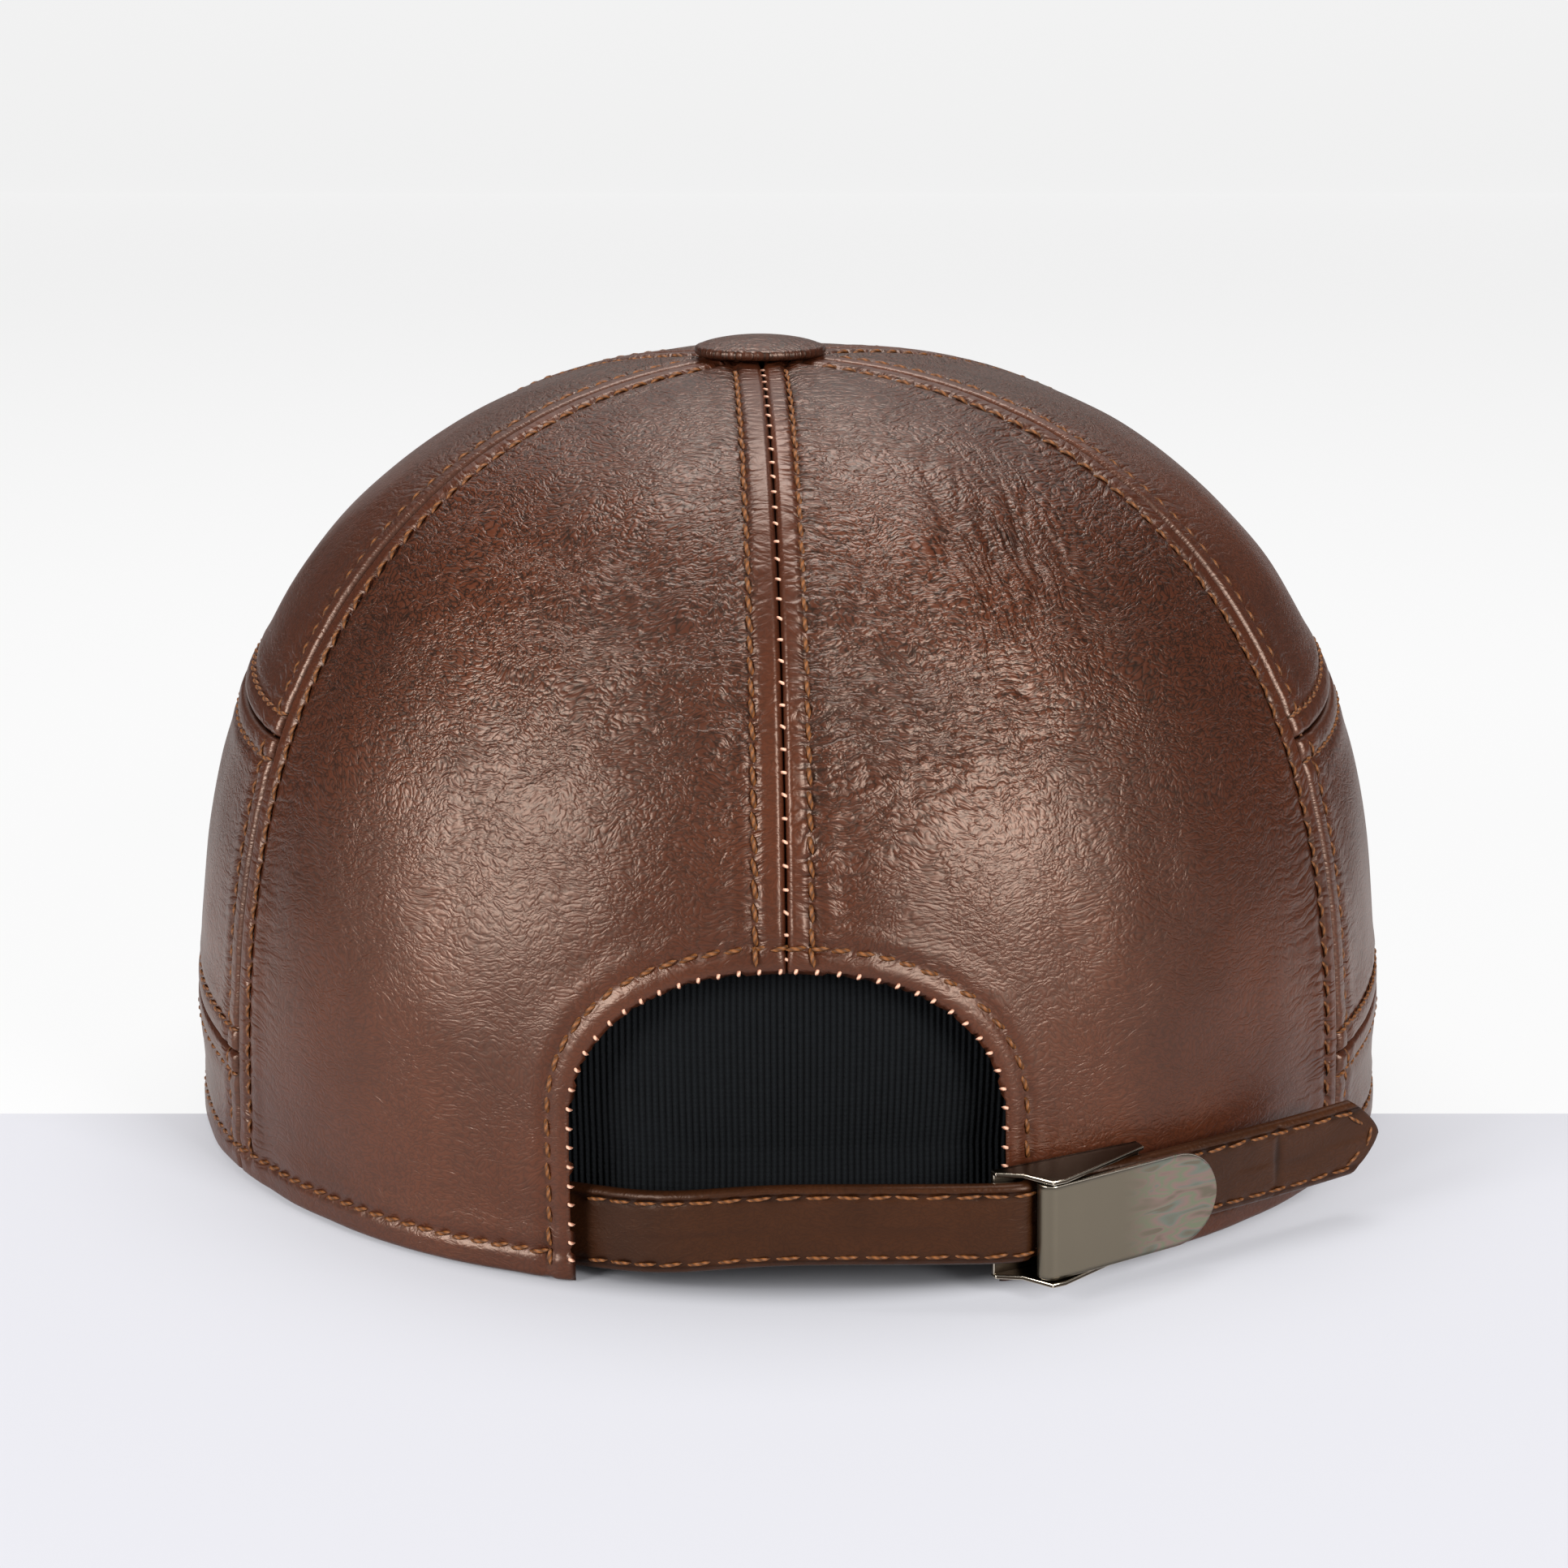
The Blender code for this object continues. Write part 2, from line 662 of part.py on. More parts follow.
def add_buckle_frame(cutters, collection, material):
    """One pressed channel: a plate behind the strap, two rails and the cross pin."""
    half = RAIL_HALF_SPAN + RAIL_THICKNESS
    frame = box_mesh(
        "buckle_frame",
        (PIN_ALONG - FRAME_BEFORE_PIN, PLATE_OUT, -half),
        (PIN_ALONG + FRAME_AFTER_PIN, PLATE_OUT + PLATE_THICKNESS, half),
        collection,
    )
    frame.data.materials.append(material)
    for name, side in (("lower_rail", -1), ("upper_rail", 1)):
        low, high = sorted((side * RAIL_HALF_SPAN, side * half))
        rail = as_cutter(prism_between(name, rail_outline(), low, high, cutters))
        add_boolean(frame, rail, "UNION")
    pin = as_cutter(
        rod_mesh("pin", PIN_RADIUS, RAIL_HALF_SPAN + RAIL_THICKNESS / 2, 12, cutters)
    )
    add_boolean(frame, pin, "UNION")
    return frame


def lever_outline():
    """The lever's face: square at the hinge, round at its free end."""
    radius = LEVER_WIDTH / 2
    outline = [(0.0, radius), (0.0, -radius)]
    for step in range(13):
        turn = -math.pi / 2 + math.pi * step / 12
        outline.append(
            (LEVER_LENGTH - radius + radius * math.cos(turn), radius * math.sin(turn))
        )
    return outline


def add_buckle_lever(cutters, collection, material):
    """A flat lever rolled round the pin at its hinge end, lying closed on the strap's tail."""
    lever = prism_between(
        "buckle_lever", lever_outline(), -LEVER_THICKNESS / 2, LEVER_THICKNESS / 2, collection
    )
    lever.data.materials.append(material)
    free_end = STRAP_OUT + STRAP_THICKNESS / 2 + PART_GAP + LEVER_THICKNESS / 2
    hinge_end = PIN_OUT + BARREL_RADIUS - LEVER_THICKNESS / 2
    slope = math.asin((hinge_end - free_end) / LEVER_LENGTH)
    stand = Matrix.Rotation(math.pi / 2, 4, "X")
    tilt = Matrix.Rotation(-slope, 4, "Z")
    root = Vector((PIN_ALONG, hinge_end, 0))
    lever.data.transform(Matrix.Translation(root) @ tilt @ stand)
    half = LEVER_WIDTH / 2
    barrel = as_cutter(rod_mesh("barrel", BARREL_RADIUS, half, 20, cutters))
    bore = as_cutter(rod_mesh("bore", PIN_RADIUS + PART_GAP, 2 * half, 16, cutters))
    add_boolean(lever, barrel, "UNION")
    add_boolean(lever, bore, "DIFFERENCE")
    return lever


def apply_boolean_stack(obj):
    """Fixes the piece as a mesh, so that its helpers may follow their own frame."""
    bpy.context.view_layer.update()
    graph = bpy.context.evaluated_depsgraph_get()
    mesh = bpy.data.meshes.new_from_object(obj.evaluated_get(graph))
    obj.modifiers.clear()
    obj.data = mesh


def main():
    clear_scene()
    cap = new_collection("leather_cap")
    cutters = new_collection("cutters")
    leather = new_material("brown_leather", LEATHER_BROWN, 0.42, 0.0)
    knit = new_material("black_knit", KNIT_BLACK, 0.9, 0.0)
    metal = new_material("gunmetal", GUNMETAL, 0.3, 1.0)

    hem_cutter = add_hem_cutter(cutters)
    opening_cutter = add_opening_cutter(cutters)
    for side, hand in ((-1, "left"), (1, "right")):
        back = add_gore(f"back_panel_{hand}", side, 0, None, None, 11, 17, cap, leather)
        add_boolean(back, hem_cutter, "DIFFERENCE")
        add_boolean(back, opening_cutter, "DIFFERENCE")
        band = add_gore(f"side_band_{hand}", side, 1, None, SIDE_LOW_SEAM, 10, 4, cap, leather)
        add_boolean(band, hem_cutter, "DIFFERENCE")
        add_gore(f"side_panel_{hand}", side, 1, SIDE_LOW_SEAM, SIDE_HIGH_SEAM, 10, 6, cap, leather)
        add_gore(f"side_crown_{hand}", side, 1, SIDE_HIGH_SEAM, None, 10, 10, cap, leather)
        front = add_gore(f"front_panel_{hand}", side, 2, None, None, 11, 17, cap, leather)
        add_boolean(front, hem_cutter, "DIFFERENCE")
    add_peak(cap, leather)
    add_button(cap, leather)
    add_knit_panel(cap, knit)
    add_strap(cap, leather)
    add_tab(cap, leather)

    buckle_axes = buckle_frame_axes()
    frame = add_buckle_frame(cutters, cap, metal)
    lever = add_buckle_lever(cutters, cap, metal)
    for piece in (frame, lever):
        apply_boolean_stack(piece)
    frame.matrix_world = buckle_axes
    hinge = Vector((PIN_ALONG, PIN_OUT, 0))
    lever.data.transform(Matrix.Translation(-hinge))
    lever.matrix_world = buckle_axes @ Matrix.Translation(hinge)

    centre = bpy.data.objects.new("cap_centre", None)
    back_reach = CROWN_BACK_DEPTH + SEAM_DIP + STRAP_BULGE + STRAP_THICKNESS / 2
    centre.location.y = (back_reach - CROWN_FRONT_DEPTH - PEAK_LENGTH) / 2
    for piece in list(cap.objects) + list(cutters.objects):
        piece.parent = centre
    cap.objects.link(centre)


main()
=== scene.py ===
"""Brown leather baseball cap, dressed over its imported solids. The photographed back faces -Y.

Sizes are in millimetres until a mesh is made. Crown points are worked out from the centre of the
head opening, and CROWN_CENTRE_Y carries them to the cap's own centre.
"""

import math

import bpy
import numpy as np
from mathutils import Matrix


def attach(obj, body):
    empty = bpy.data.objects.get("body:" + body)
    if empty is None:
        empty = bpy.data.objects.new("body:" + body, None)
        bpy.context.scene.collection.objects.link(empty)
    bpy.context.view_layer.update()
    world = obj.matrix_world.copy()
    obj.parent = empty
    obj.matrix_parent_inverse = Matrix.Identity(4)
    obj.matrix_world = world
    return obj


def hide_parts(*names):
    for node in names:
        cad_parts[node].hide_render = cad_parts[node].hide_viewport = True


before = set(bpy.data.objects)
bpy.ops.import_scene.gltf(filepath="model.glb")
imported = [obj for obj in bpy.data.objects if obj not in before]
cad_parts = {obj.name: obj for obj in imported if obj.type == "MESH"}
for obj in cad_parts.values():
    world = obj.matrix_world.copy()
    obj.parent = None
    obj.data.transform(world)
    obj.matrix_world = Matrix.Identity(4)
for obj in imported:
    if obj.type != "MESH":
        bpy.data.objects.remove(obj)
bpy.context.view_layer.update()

# Table, light and camera: a pale back-lit table that runs up into a low cove, in a dim room. Two
# tall soft boxes stand behind the camera and two wide ones hang overhead.
MM = 0.001
CROWN_CENTRE_Y = -39.9
CAMERA_BACK = 463.0
CAMERA_HEIGHT = 168.0
CAMERA_PITCH = math.radians(14.43)
CAMERA_LENS = 68.22
FRAME_PIXELS = 1932
CENTRE_COLUMN = 970.5
SHEET_EDGE_Y = -19.8
TABLE_HALF_SIZE = 2500.0
COVE_HEIGHT = 260.0
PAPER_COLOUR = "#8a8a8e"
PAPER_GLOW = "#a6a6aa"
ACRYLIC_COLOUR = "#4c4c4c"
ACRYLIC_GLOW = "#eeeeee"
UNLIT_COLOUR = "#acacae"
UNLIT_GLOW = 0.62
GLOW_HALF_WIDTH = 170.0
GLOW_SPREAD = 0.32
GLOW_FRONT_Y = -215.0
GLOW_FADE = 160.0
# Oval round the cap where the table's glow is left out, which paints a contact shadow under and round the
# cap.
SHADOW_OVAL_HALF_WIDTH = 89.5
SHADOW_OVAL_DEPTH = 88.5
SHADOW_OVAL_START = 0.97
SHADOW_OVAL_END = 1.06
ROOM_COLOUR = "#f3f3f3"
ROOM_LIGHT = 0.075
ROOM_SEEN = 0.75


def linear(hex_colour):
    """Linear RGBA of an sRGB hex colour."""
    parts = [int(hex_colour[i : i + 2], 16) / 255 for i in (1, 3, 5)]
    return [c / 12.92 if c <= 0.04045 else ((c + 0.055) / 1.055) ** 2.4 for c in parts] + [1.0]


def add_node(tree, kind, inputs=None, **settings):
    """Adds one node; kind leaves out the first word of Blender's name. settings are its properties.
    inputs are its sockets by name or number, each a value, a socket, or a node for its first output
    in use."""
    node = tree.nodes.new("ShaderNode" + kind)
    for name, value in settings.items():
        setattr(node, name, value)
    for socket, value in (inputs or {}).items():
        if isinstance(value, bpy.types.Node):
            value = next(output for output in value.outputs if output.enabled)
        if isinstance(value, bpy.types.NodeSocket):
            tree.links.new(value, node.inputs[socket])
        else:
            node.inputs[socket].default_value = value
    return node


def start_material(name):
    """A material with an empty node tree."""
    material = bpy.data.materials.new(name)
    material.use_nodes = True
    material.node_tree.nodes.clear()
    return material, material.node_tree


def end_material(material, finish):
    """Adds the surface, whose sockets are in finish, and the output."""
    surface = add_node(material.node_tree, "BsdfPrincipled", finish)
    add_node(material.node_tree, "OutputMaterial", {"Surface": surface})
    return material


def link_scene(name, data):
    """A new object in the scene's own collection."""
    new_object = bpy.data.objects.new(name, data)
    bpy.context.scene.collection.objects.link(new_object)
    return new_object


def lit_acrylic():
    """A back-lit sheet of opal acrylic with a matt paper sheet over its near half. Both take only a faint
    shadow. The lamps below light a strip that widens to the rear and fades at its sides. Its glow is left
    out of an oval round the cap's footprint, which paints a contact shadow under and round the cap. Beyond
    the strip the table is pale but lights nothing."""
    material, tree = start_material("lit_acrylic_table")
    place = add_node(tree, "TexCoord").outputs["Object"]
    axes = add_node(tree, "SeparateXYZ", {0: place}).outputs
    sheet_edge = (SHEET_EDGE_Y + CROWN_CENTRE_Y) * MM
    beyond = add_node(tree, "Math", {0: axes["Y"], 1: sheet_edge}, operation="GREATER_THAN")
    colours = {0: beyond, 6: linear(PAPER_COLOUR), 7: linear(ACRYLIC_COLOUR)}
    colour = add_node(tree, "Mix", colours, data_type="RGBA")
    glows = {0: beyond, 6: linear(PAPER_GLOW), 7: linear(ACRYLIC_GLOW)}
    glow = add_node(tree, "Mix", glows, data_type="RGBA")
    sideways = add_node(tree, "Math", {0: axes["X"]}, operation="ABSOLUTE")
    widening = {0: axes["Y"], 1: GLOW_SPREAD, 2: GLOW_HALF_WIDTH * MM}
    rearward = add_node(tree, "Math", widening, operation="MULTIPLY_ADD")
    inside = add_node(tree, "Math", {0: rearward, 1: sideways}, operation="SUBTRACT")
    fades = []
    for value, start, end in (
        (inside, -GLOW_FADE * MM, 0.0),
        (axes["Y"], (GLOW_FRONT_Y - GLOW_FADE) * MM, GLOW_FRONT_Y * MM),
    ):
        limits = {"Value": value, "From Min": start, "From Max": end}
        fades.append(add_node(tree, "MapRange", limits, interpolation_type="SMOOTHSTEP"))
    # Painted contact shadow: the glow is taken away inside this oval round the cap.
    oval = {
        "Vector": place,
        "Location": (0, -CROWN_CENTRE_Y / SHADOW_OVAL_DEPTH, 0),
        "Scale": (1 / (SHADOW_OVAL_HALF_WIDTH * MM), 1 / (SHADOW_OVAL_DEPTH * MM), 0),
    }
    turn_out = add_node(tree, "VectorMath", {0: add_node(tree, "Mapping", oval)}, operation="LENGTH")
    limits = {"Value": turn_out, "From Min": SHADOW_OVAL_START, "From Max": SHADOW_OVAL_END}
    outside_painted_shadow = add_node(tree, "MapRange", limits, interpolation_type="SMOOTHSTEP")
    fade = add_node(tree, "Math", {0: fades[0], 1: fades[1]}, operation="MULTIPLY")
    sight = add_node(tree, "LightPath").outputs["Is Camera Ray"]
    pale = add_node(tree, "Math", {0: sight, 1: UNLIT_GLOW}, operation="MULTIPLY")
    shown = add_node(tree, "Math", {0: fade, 1: pale}, operation="MAXIMUM")
    strength = add_node(tree, "Math", {0: shown, 1: outside_painted_shadow}, operation="MULTIPLY")
    body = add_node(tree, "Mix", {0: fade, 6: linear(UNLIT_COLOUR), 7: colour}, data_type="RGBA")
    finish = {
        "Base Color": body,
        "Roughness": 0.9,
        "Specular IOR Level": 0.1,
        "Emission Color": glow,
        "Emission Strength": strength,
    }
    return end_material(material, finish)


half = TABLE_HALF_SIZE * MM
rise = COVE_HEIGHT * MM
bends = [math.radians(3 * i) for i in range(31)]
sweep = [(-half, 0)] + [(half + rise * math.sin(t), rise - rise * math.cos(t)) for t in bends]
corners = [(x, y, z) for y, z in sweep for x in (-half, half)]
floor_mesh = bpy.data.meshes.new("table_top")
floor_mesh.from_pydata(corners, [], [(i, i + 1, i + 3, i + 2) for i in range(0, len(corners) - 2, 2)])
floor_mesh.shade_smooth()
floor_mesh.materials.append(lit_acrylic())
link_scene("table_top", floor_mesh)

world = bpy.data.worlds.new("dim_room")
world.use_nodes = True
room = world.node_tree
sight = add_node(room, "LightPath").outputs["Is Camera Ray"]
level = add_node(room, "Math", {0: sight, 1: ROOM_SEEN, 2: ROOM_LIGHT}, operation="MULTIPLY_ADD")
background = room.nodes["Background"].inputs
background["Color"].default_value = linear(ROOM_COLOUR)
room.links.new(level.outputs[0], background["Strength"])
bpy.context.scene.world = world
bpy.context.scene.view_settings.view_transform = "Standard"

# name, place, where it points, width and height, watts
SOFT_BOXES = [
    ("left_soft_box", (-746, -626, 393), (-30, -70, 50), (320, 460), 11.2),
    ("right_soft_box", (586, -777, 440), (30, -70, 50), (330, 540), 12.5),
    ("top_soft_box", (0, 150, 850), (0, -30, 90), (560, 360), 6.2),
    ("rear_soft_box", (0, 900, 760), (0, 0, 60), (1400, 600), 2.0),
]
for name, place, target, (width, height), watts in SOFT_BOXES:
    lamp = bpy.data.lights.new(name, "AREA")
    lamp.shape = "RECTANGLE"
    lamp.size = width * MM
    lamp.size_y = height * MM
    lamp.energy = watts
    box = link_scene(name, lamp)
    start = np.array(place, float)
    toward = np.array(target, float) - start
    pitch = math.acos(-toward[2] / np.linalg.norm(toward))
    box.location = start * MM
    box.rotation_euler = (pitch, 0, math.atan2(-toward[0], toward[1]))

camera_data = bpy.data.cameras.new("camera")
camera_data.lens = CAMERA_LENS
camera_data.sensor_width = 36
camera_data.shift_x = (FRAME_PIXELS / 2 - CENTRE_COLUMN) / FRAME_PIXELS
camera = link_scene("camera", camera_data)
camera.location = (0, (CROWN_CENTRE_Y - CAMERA_BACK) * MM, CAMERA_HEIGHT * MM)
camera.rotation_euler = (math.pi / 2 - CAMERA_PITCH, 0, 0)
bpy.context.scene.camera = camera

# Crown leather: six gores of 1.8 mm brown cowhide. Each edge is turned in and topstitched, so it
# rolls into its seam, swells over the allowance and is pinched along its row of stitches.
HALF_WIDTH = 94.5
BACK_DEPTH = 89.5
FRONT_DEPTH = 101.0
CROWN_HEIGHT = 118.5
WIDTH_POWER = 2.3
HEIGHT_POWER = 2.8
POLE_X = -4.3
POLE_Y = -8.0
POLE_HOLE = 2.6
LEATHER = 1.8
GORE_ANGLE = math.radians(60)
SIDE_LOW_SEAM = 20.3
SIDE_HIGH_SEAM = 67.7
SEAM_HALF_GAP = -0.06
STITCH_ROW = 3.6
CENTRE_ROW_LEFT = 4.1
CENTRE_ROW_RIGHT = 3.4
HEM_ROW = 4.2
SIDE_SEAM_DIP = 1.4
SIDE_SEAM_CLIMB = 2.0
SIDE_SEAM_CLIMB_ANGLE = 34.0
STITCH_PITCH = 3.05
ROLL = 0.95
SEAM_SWELL = 0.4
LEVEL_SWELL = 0.42
ROW_PINCH = 0.42
PUCKER = 0.10
SEAM_PUCKER = 0.16
LEVEL_PUCKER = 0.12
OPENING_HALF_WIDTH = 29.1
OPENING_HEIGHT = 45.0
OPENING_ARCH_RISE = 21.5
OPENING_ARCH_POWER = 2.2
OPENING_ROW = 3.5
WAVES = ((0.5, 24, 30), (0.12, 8, 9))  # height, and length across and up
WAVES_START = 3.0
WAVES_FULL = 15.0
PUCKER_REACH = 5.0
LEVEL_PUCKER_REACH = 3.0
PULL_REACH = 6.0
PRESSED_BORDER = 2.2
PRESSED_HEM = 32.0
PRESSED_FADE = 60.0

# Patterns of the hide: pitch across and up in millimetres, detail, and the width of the valleys
FINE_GRAIN = (0.95, 0.52, 0.5, 0.26)
LONG_CREASES = (3.2, 1.4, 1.0, 0.12)
UPRIGHT_CREASES = (1.7, 12.0, 0.6, 0.20)
SEAM_CREASES = (9.0, 1.6, 0.6, 0.22)
RIPPLES = (0.75, 0.40, 1.2)
FINE_DEPTH = 0.036
CELL_DEPTH = 0.025
RIPPLE_HEIGHT = 0.028
LONG_DEPTH = 0.05
UPRIGHT_DEPTH = 0.22
SEAM_DEPTH = 0.26
# Dark colour of the grain valleys, also used to paint shade into creases, seam grooves and stitch pinches.
DYE_AND_SHADE_COLOUR = "#170803"
WARM_COAT = "#ffe0cc"

PEAK_LENGTH = 71.0
PEAK_HALF_WIDTH = 89.0
PEAK_OUTLINE_POWER = 2.3
PEAK_THICKNESS = 3.2
PEAK_SLOPE = 0.12
PEAK_BEND_RADIUS = 180.0
PEAK_END_AZIMUTH = math.radians(114)
HEM_RISE_START = 8.0
HEM_RISE_LEAD = 6.0
HEM_GAP = 0.3


def together(*axes):
    """Coordinates joined into points."""
    return np.stack(axes, axis=-1)


def hump(distance, reach):
    """A bell curve: 1 at distance 0 and about a third at its reach."""
    return np.exp(-((distance / reach) ** 2))


def smooth_step(x):
    """0 below 0, 1 above 1, and an S curve between."""
    x = np.clip(x, 0, 1)
    return x * x * (3 - 2 * x)


def smooth_noise(x, y, seed):
    """Value noise from -1 to 1: random numbers one unit apart, blended smoothly."""
    lattice = np.random.default_rng(seed).uniform(-1, 1, (256, 256))
    column = np.floor(x).astype(int)
    row = np.floor(y).astype(int)
    across = smooth_step(x - column)
    up = smooth_step(y - row)
    column, row = column % 255, row % 255
    low = lattice[row, column] * (1 - across) + lattice[row, column + 1] * across
    high = lattice[row + 1, column] * (1 - across) + lattice[row + 1, column + 1] * across
    return low * (1 - up) + high * up


def crown_rim(azimuth):
    """The hem in plan: two half ellipses that meet at the sides."""
    depth = np.where(np.cos(azimuth) > 0, BACK_DEPTH, FRONT_DEPTH)
    return HALF_WIDTH * np.sin(azimuth), -depth * np.cos(azimuth), depth


def crown_shell(azimuth, ring):
    """The outer face without relief. A gore line is straight in plan, from the pole at ring 0 to the
    hem at ring 1, and a superellipse of its share of the plan gives the height."""
    rim_x, rim_y, _ = crown_rim(azimuth)
    x = POLE_X * (1 - ring) + rim_x * ring
    y = POLE_Y * (1 - ring) + rim_y * ring
    depth = np.where(y < 0, BACK_DEPTH, FRONT_DEPTH)
    share = np.clip(np.hypot(x / HALF_WIDTH, y / depth), 0, 1)
    z = CROWN_HEIGHT * (1 - share**WIDTH_POWER) ** (1 / HEIGHT_POWER)
    return together(x, y, z)


def unit(vectors):
    """The same directions with a length of 1."""
    return vectors / np.linalg.norm(vectors, axis=-1, keepdims=True)


def crown_normal(azimuth, ring):
    """Outward unit normals, from short steps along and across the gore line."""
    step = 2e-4
    across = crown_shell(azimuth + step, ring) - crown_shell(azimuth - step, ring)
    up = crown_shell(azimuth, ring - step) - crown_shell(azimuth, np.minimum(ring + step, 1.0))
    return unit(np.cross(across, up))


def ring_at_height(azimuth, height):
    """The ring where a gore line is this high: the root of a quadratic in the ring."""
    share = (1 - (np.maximum(height, 0) / CROWN_HEIGHT) ** HEIGHT_POWER) ** (1 / WIDTH_POWER)
    rim_x, rim_y, depth = crown_rim(azimuth)
    a, b = (rim_x - POLE_X) / HALF_WIDTH, POLE_X / HALF_WIDTH
    c, d = (rim_y - POLE_Y) / depth, POLE_Y / depth
    middle, lead = a * b + c * d, a * a + c * c
    return (-middle + np.sqrt(middle**2 - lead * (b * b + d * d - share * share))) / lead


def gore_width(azimuth, ring):
    """Millimetres for each radian of azimuth."""
    _, _, depth = crown_rim(azimuth)
    return ring * np.hypot(HALF_WIDTH * np.cos(azimuth), depth * np.sin(azimuth))


def quarter_roll(distance):
    """How far an edge rolls down towards its seam: a quarter circle."""
    inward = np.clip(ROLL - distance, 0, ROLL)
    return np.sqrt(ROLL**2 - inward**2) - ROLL


def turned_edge(distance, row, along, swell):
    """Height over a turned edge, from the distance to it: a swell up to the stitch row, a pinch there
    that deepens at each needle hole, and a soft shoulder beyond."""
    raised = swell * smooth_step(distance / ROLL) * (1 - smooth_step((distance - row + 0.9) / 1.3))
    holes = 0.7 + 0.3 * np.cos(2 * np.pi * along / STITCH_PITCH)
    pinch = -ROW_PINCH * holes * hump(distance - row, 0.55)
    return raised + pinch + 0.2 * hump(distance - row - 2.2, 1.5)


def puckers(distance, row, along, seed, reach, depth):
    """Short creases that run away from a stitch row: noise drawn out across the row."""
    fade = np.exp(-np.abs(distance - row) / reach)
    lines = smooth_noise(distance * 0.16, along / 1.15, seed) ** 3
    return depth * fade * (lines + 0.35 * smooth_noise(distance * 0.1, along / 2.6, seed + 1))


def creases(x, y, seed, width):
    """Valley lines where noise crosses zero, from 0 to 1."""
    return hump(smooth_noise(x, y, seed), width)


def peak_outline(turn):
    """The peak's front edge in plan, from its side corner at turn 0 to its tip at a quarter turn."""
    corner_y = -FRONT_DEPTH * math.cos(PEAK_END_AZIMUTH)
    power = 2 / PEAK_OUTLINE_POWER
    reach = FRONT_DEPTH + PEAK_LENGTH - corner_y
    x = PEAK_HALF_WIDTH * np.maximum(np.cos(turn), 0) ** power
    return x, corner_y + reach * np.sin(turn) ** power


def peak_fall(x, y):
    """How far the peak's upper face lies below its root at the middle of the front hem."""
    return PEAK_SLOPE * (y - FRONT_DEPTH) + x * x / (2 * PEAK_BEND_RADIUS)


def peak_top(x, y):
    """Height of the peak's upper face, which puts its side edges on the table."""
    edge_x, edge_y = peak_outline(np.linspace(0, np.pi / 2, 91))
    upright = 1 / np.sqrt(1 + PEAK_SLOPE**2 + (edge_x / PEAK_BEND_RADIUS) ** 2)
    root = np.max(peak_fall(edge_x, edge_y) + PEAK_THICKNESS * upright)
    return root - peak_fall(x, y)


def hem_height(azimuth):
    """The hem lies on the table at the back and sides, then climbs onto the peak."""
    x, y, _ = crown_rim(azimuth)
    rise_end = -FRONT_DEPTH * math.cos(PEAK_END_AZIMUTH) - HEM_RISE_LEAD
    climb = smooth_step((y - HEM_RISE_START) / (rise_end - HEM_RISE_START))
    return climb * (peak_top(x, y) + HEM_GAP)


def opening_distance(x, z):
    """Distance outside the half-moon opening: straight sides under a flattened arch."""
    arch_base = OPENING_HEIGHT - OPENING_ARCH_RISE
    across = np.abs(x) / OPENING_HALF_WIDTH
    over = np.maximum(z - arch_base, 0) / OPENING_ARCH_RISE
    size = np.maximum((across**OPENING_ARCH_POWER + over**OPENING_ARCH_POWER), 1e-9)
    size = size ** (1 / OPENING_ARCH_POWER)
    slope = np.hypot(
        (across / size) ** (OPENING_ARCH_POWER - 1) / OPENING_HALF_WIDTH,
        (over / size) ** (OPENING_ARCH_POWER - 1) / OPENING_ARCH_RISE,
    )
    return (size - 1) / np.maximum(slope, 1e-6)


RINGS = np.cos(np.pi / 2 * np.linspace(0, 1, 500) ** 1.3) ** (2 / WIDTH_POWER)


def travelled(path):
    """Distance along a path up to each of its points."""
    return np.concatenate([[0], np.cumsum(np.linalg.norm(np.diff(path, axis=0), axis=1))])


def ring_along(gore, along):
    """The ring at a distance up the gore line."""
    return np.interp(along, gore["distances"], RINGS)


def along_ring(gore, ring):
    """The distance up the gore line at a ring."""
    return np.interp(-ring, -RINGS, gore["distances"])


def spaced(length, edge_step, middle_step, ends=(1, 1)):
    """Shares from 0 to 1 whose steps grow from edge_step at the chosen ends to middle_step."""
    fine = np.linspace(0, length, 2000)
    near = np.minimum(
        fine if ends[0] else np.full_like(fine, length),
        length - fine if ends[1] else np.full_like(fine, length),
    )
    step = edge_step + (middle_step - edge_step) * smooth_step(near / 7.0)
    count = np.concatenate([[0], np.cumsum(np.diff(fine) / step[1:])])
    return np.interp(np.linspace(0, count[-1], int(np.ceil(count[-1])) + 1), count, fine) / length


def new_gore(side, first_seam, low, high, rows, seed, pucker=PUCKER):
    """One panel between two seams. low and high are heights: None means the hem or the pole.
    rows are the stitch rows' distances from its left and right seams."""
    ends = sorted((side * first_seam * GORE_ANGLE, side * (first_seam + 1) * GORE_ANGLE))
    middle = (ends[0] + ends[1]) / 2
    return {
        "start": ends[0],
        "end": ends[1],
        "low": low,
        "high": high,
        "rows": rows,
        "seed": seed,
        "pucker": pucker,
        "distances": travelled(crown_shell(middle, RINGS)),
        "cut": first_seam == 0,
    }


def side_seam_height(height, azimuth):
    """Height of a level side seam, which dips where it meets the back panel and climbs from there
    towards the front."""
    climb = smooth_step((np.abs(azimuth) - GORE_ANGLE) / math.radians(SIDE_SEAM_CLIMB_ANGLE))
    return height - SIDE_SEAM_DIP + (SIDE_SEAM_DIP + SIDE_SEAM_CLIMB) * climb


def gore_limits(gore, azimuth):
    """Distances along the gore line of the panel's lower and upper edges."""
    if gore["low"] is None:
        low = hem_height(azimuth)
    else:
        low = side_seam_height(gore["low"] + SEAM_HALF_GAP, azimuth)
    start = along_ring(gore, ring_at_height(azimuth, low))
    if gore["high"] is None:
        return start, along_ring(gore, np.full_like(azimuth, POLE_HOLE / BACK_DEPTH))
    high = side_seam_height(gore["high"] - SEAM_HALF_GAP, azimuth)
    return start, along_ring(gore, ring_at_height(azimuth, high))


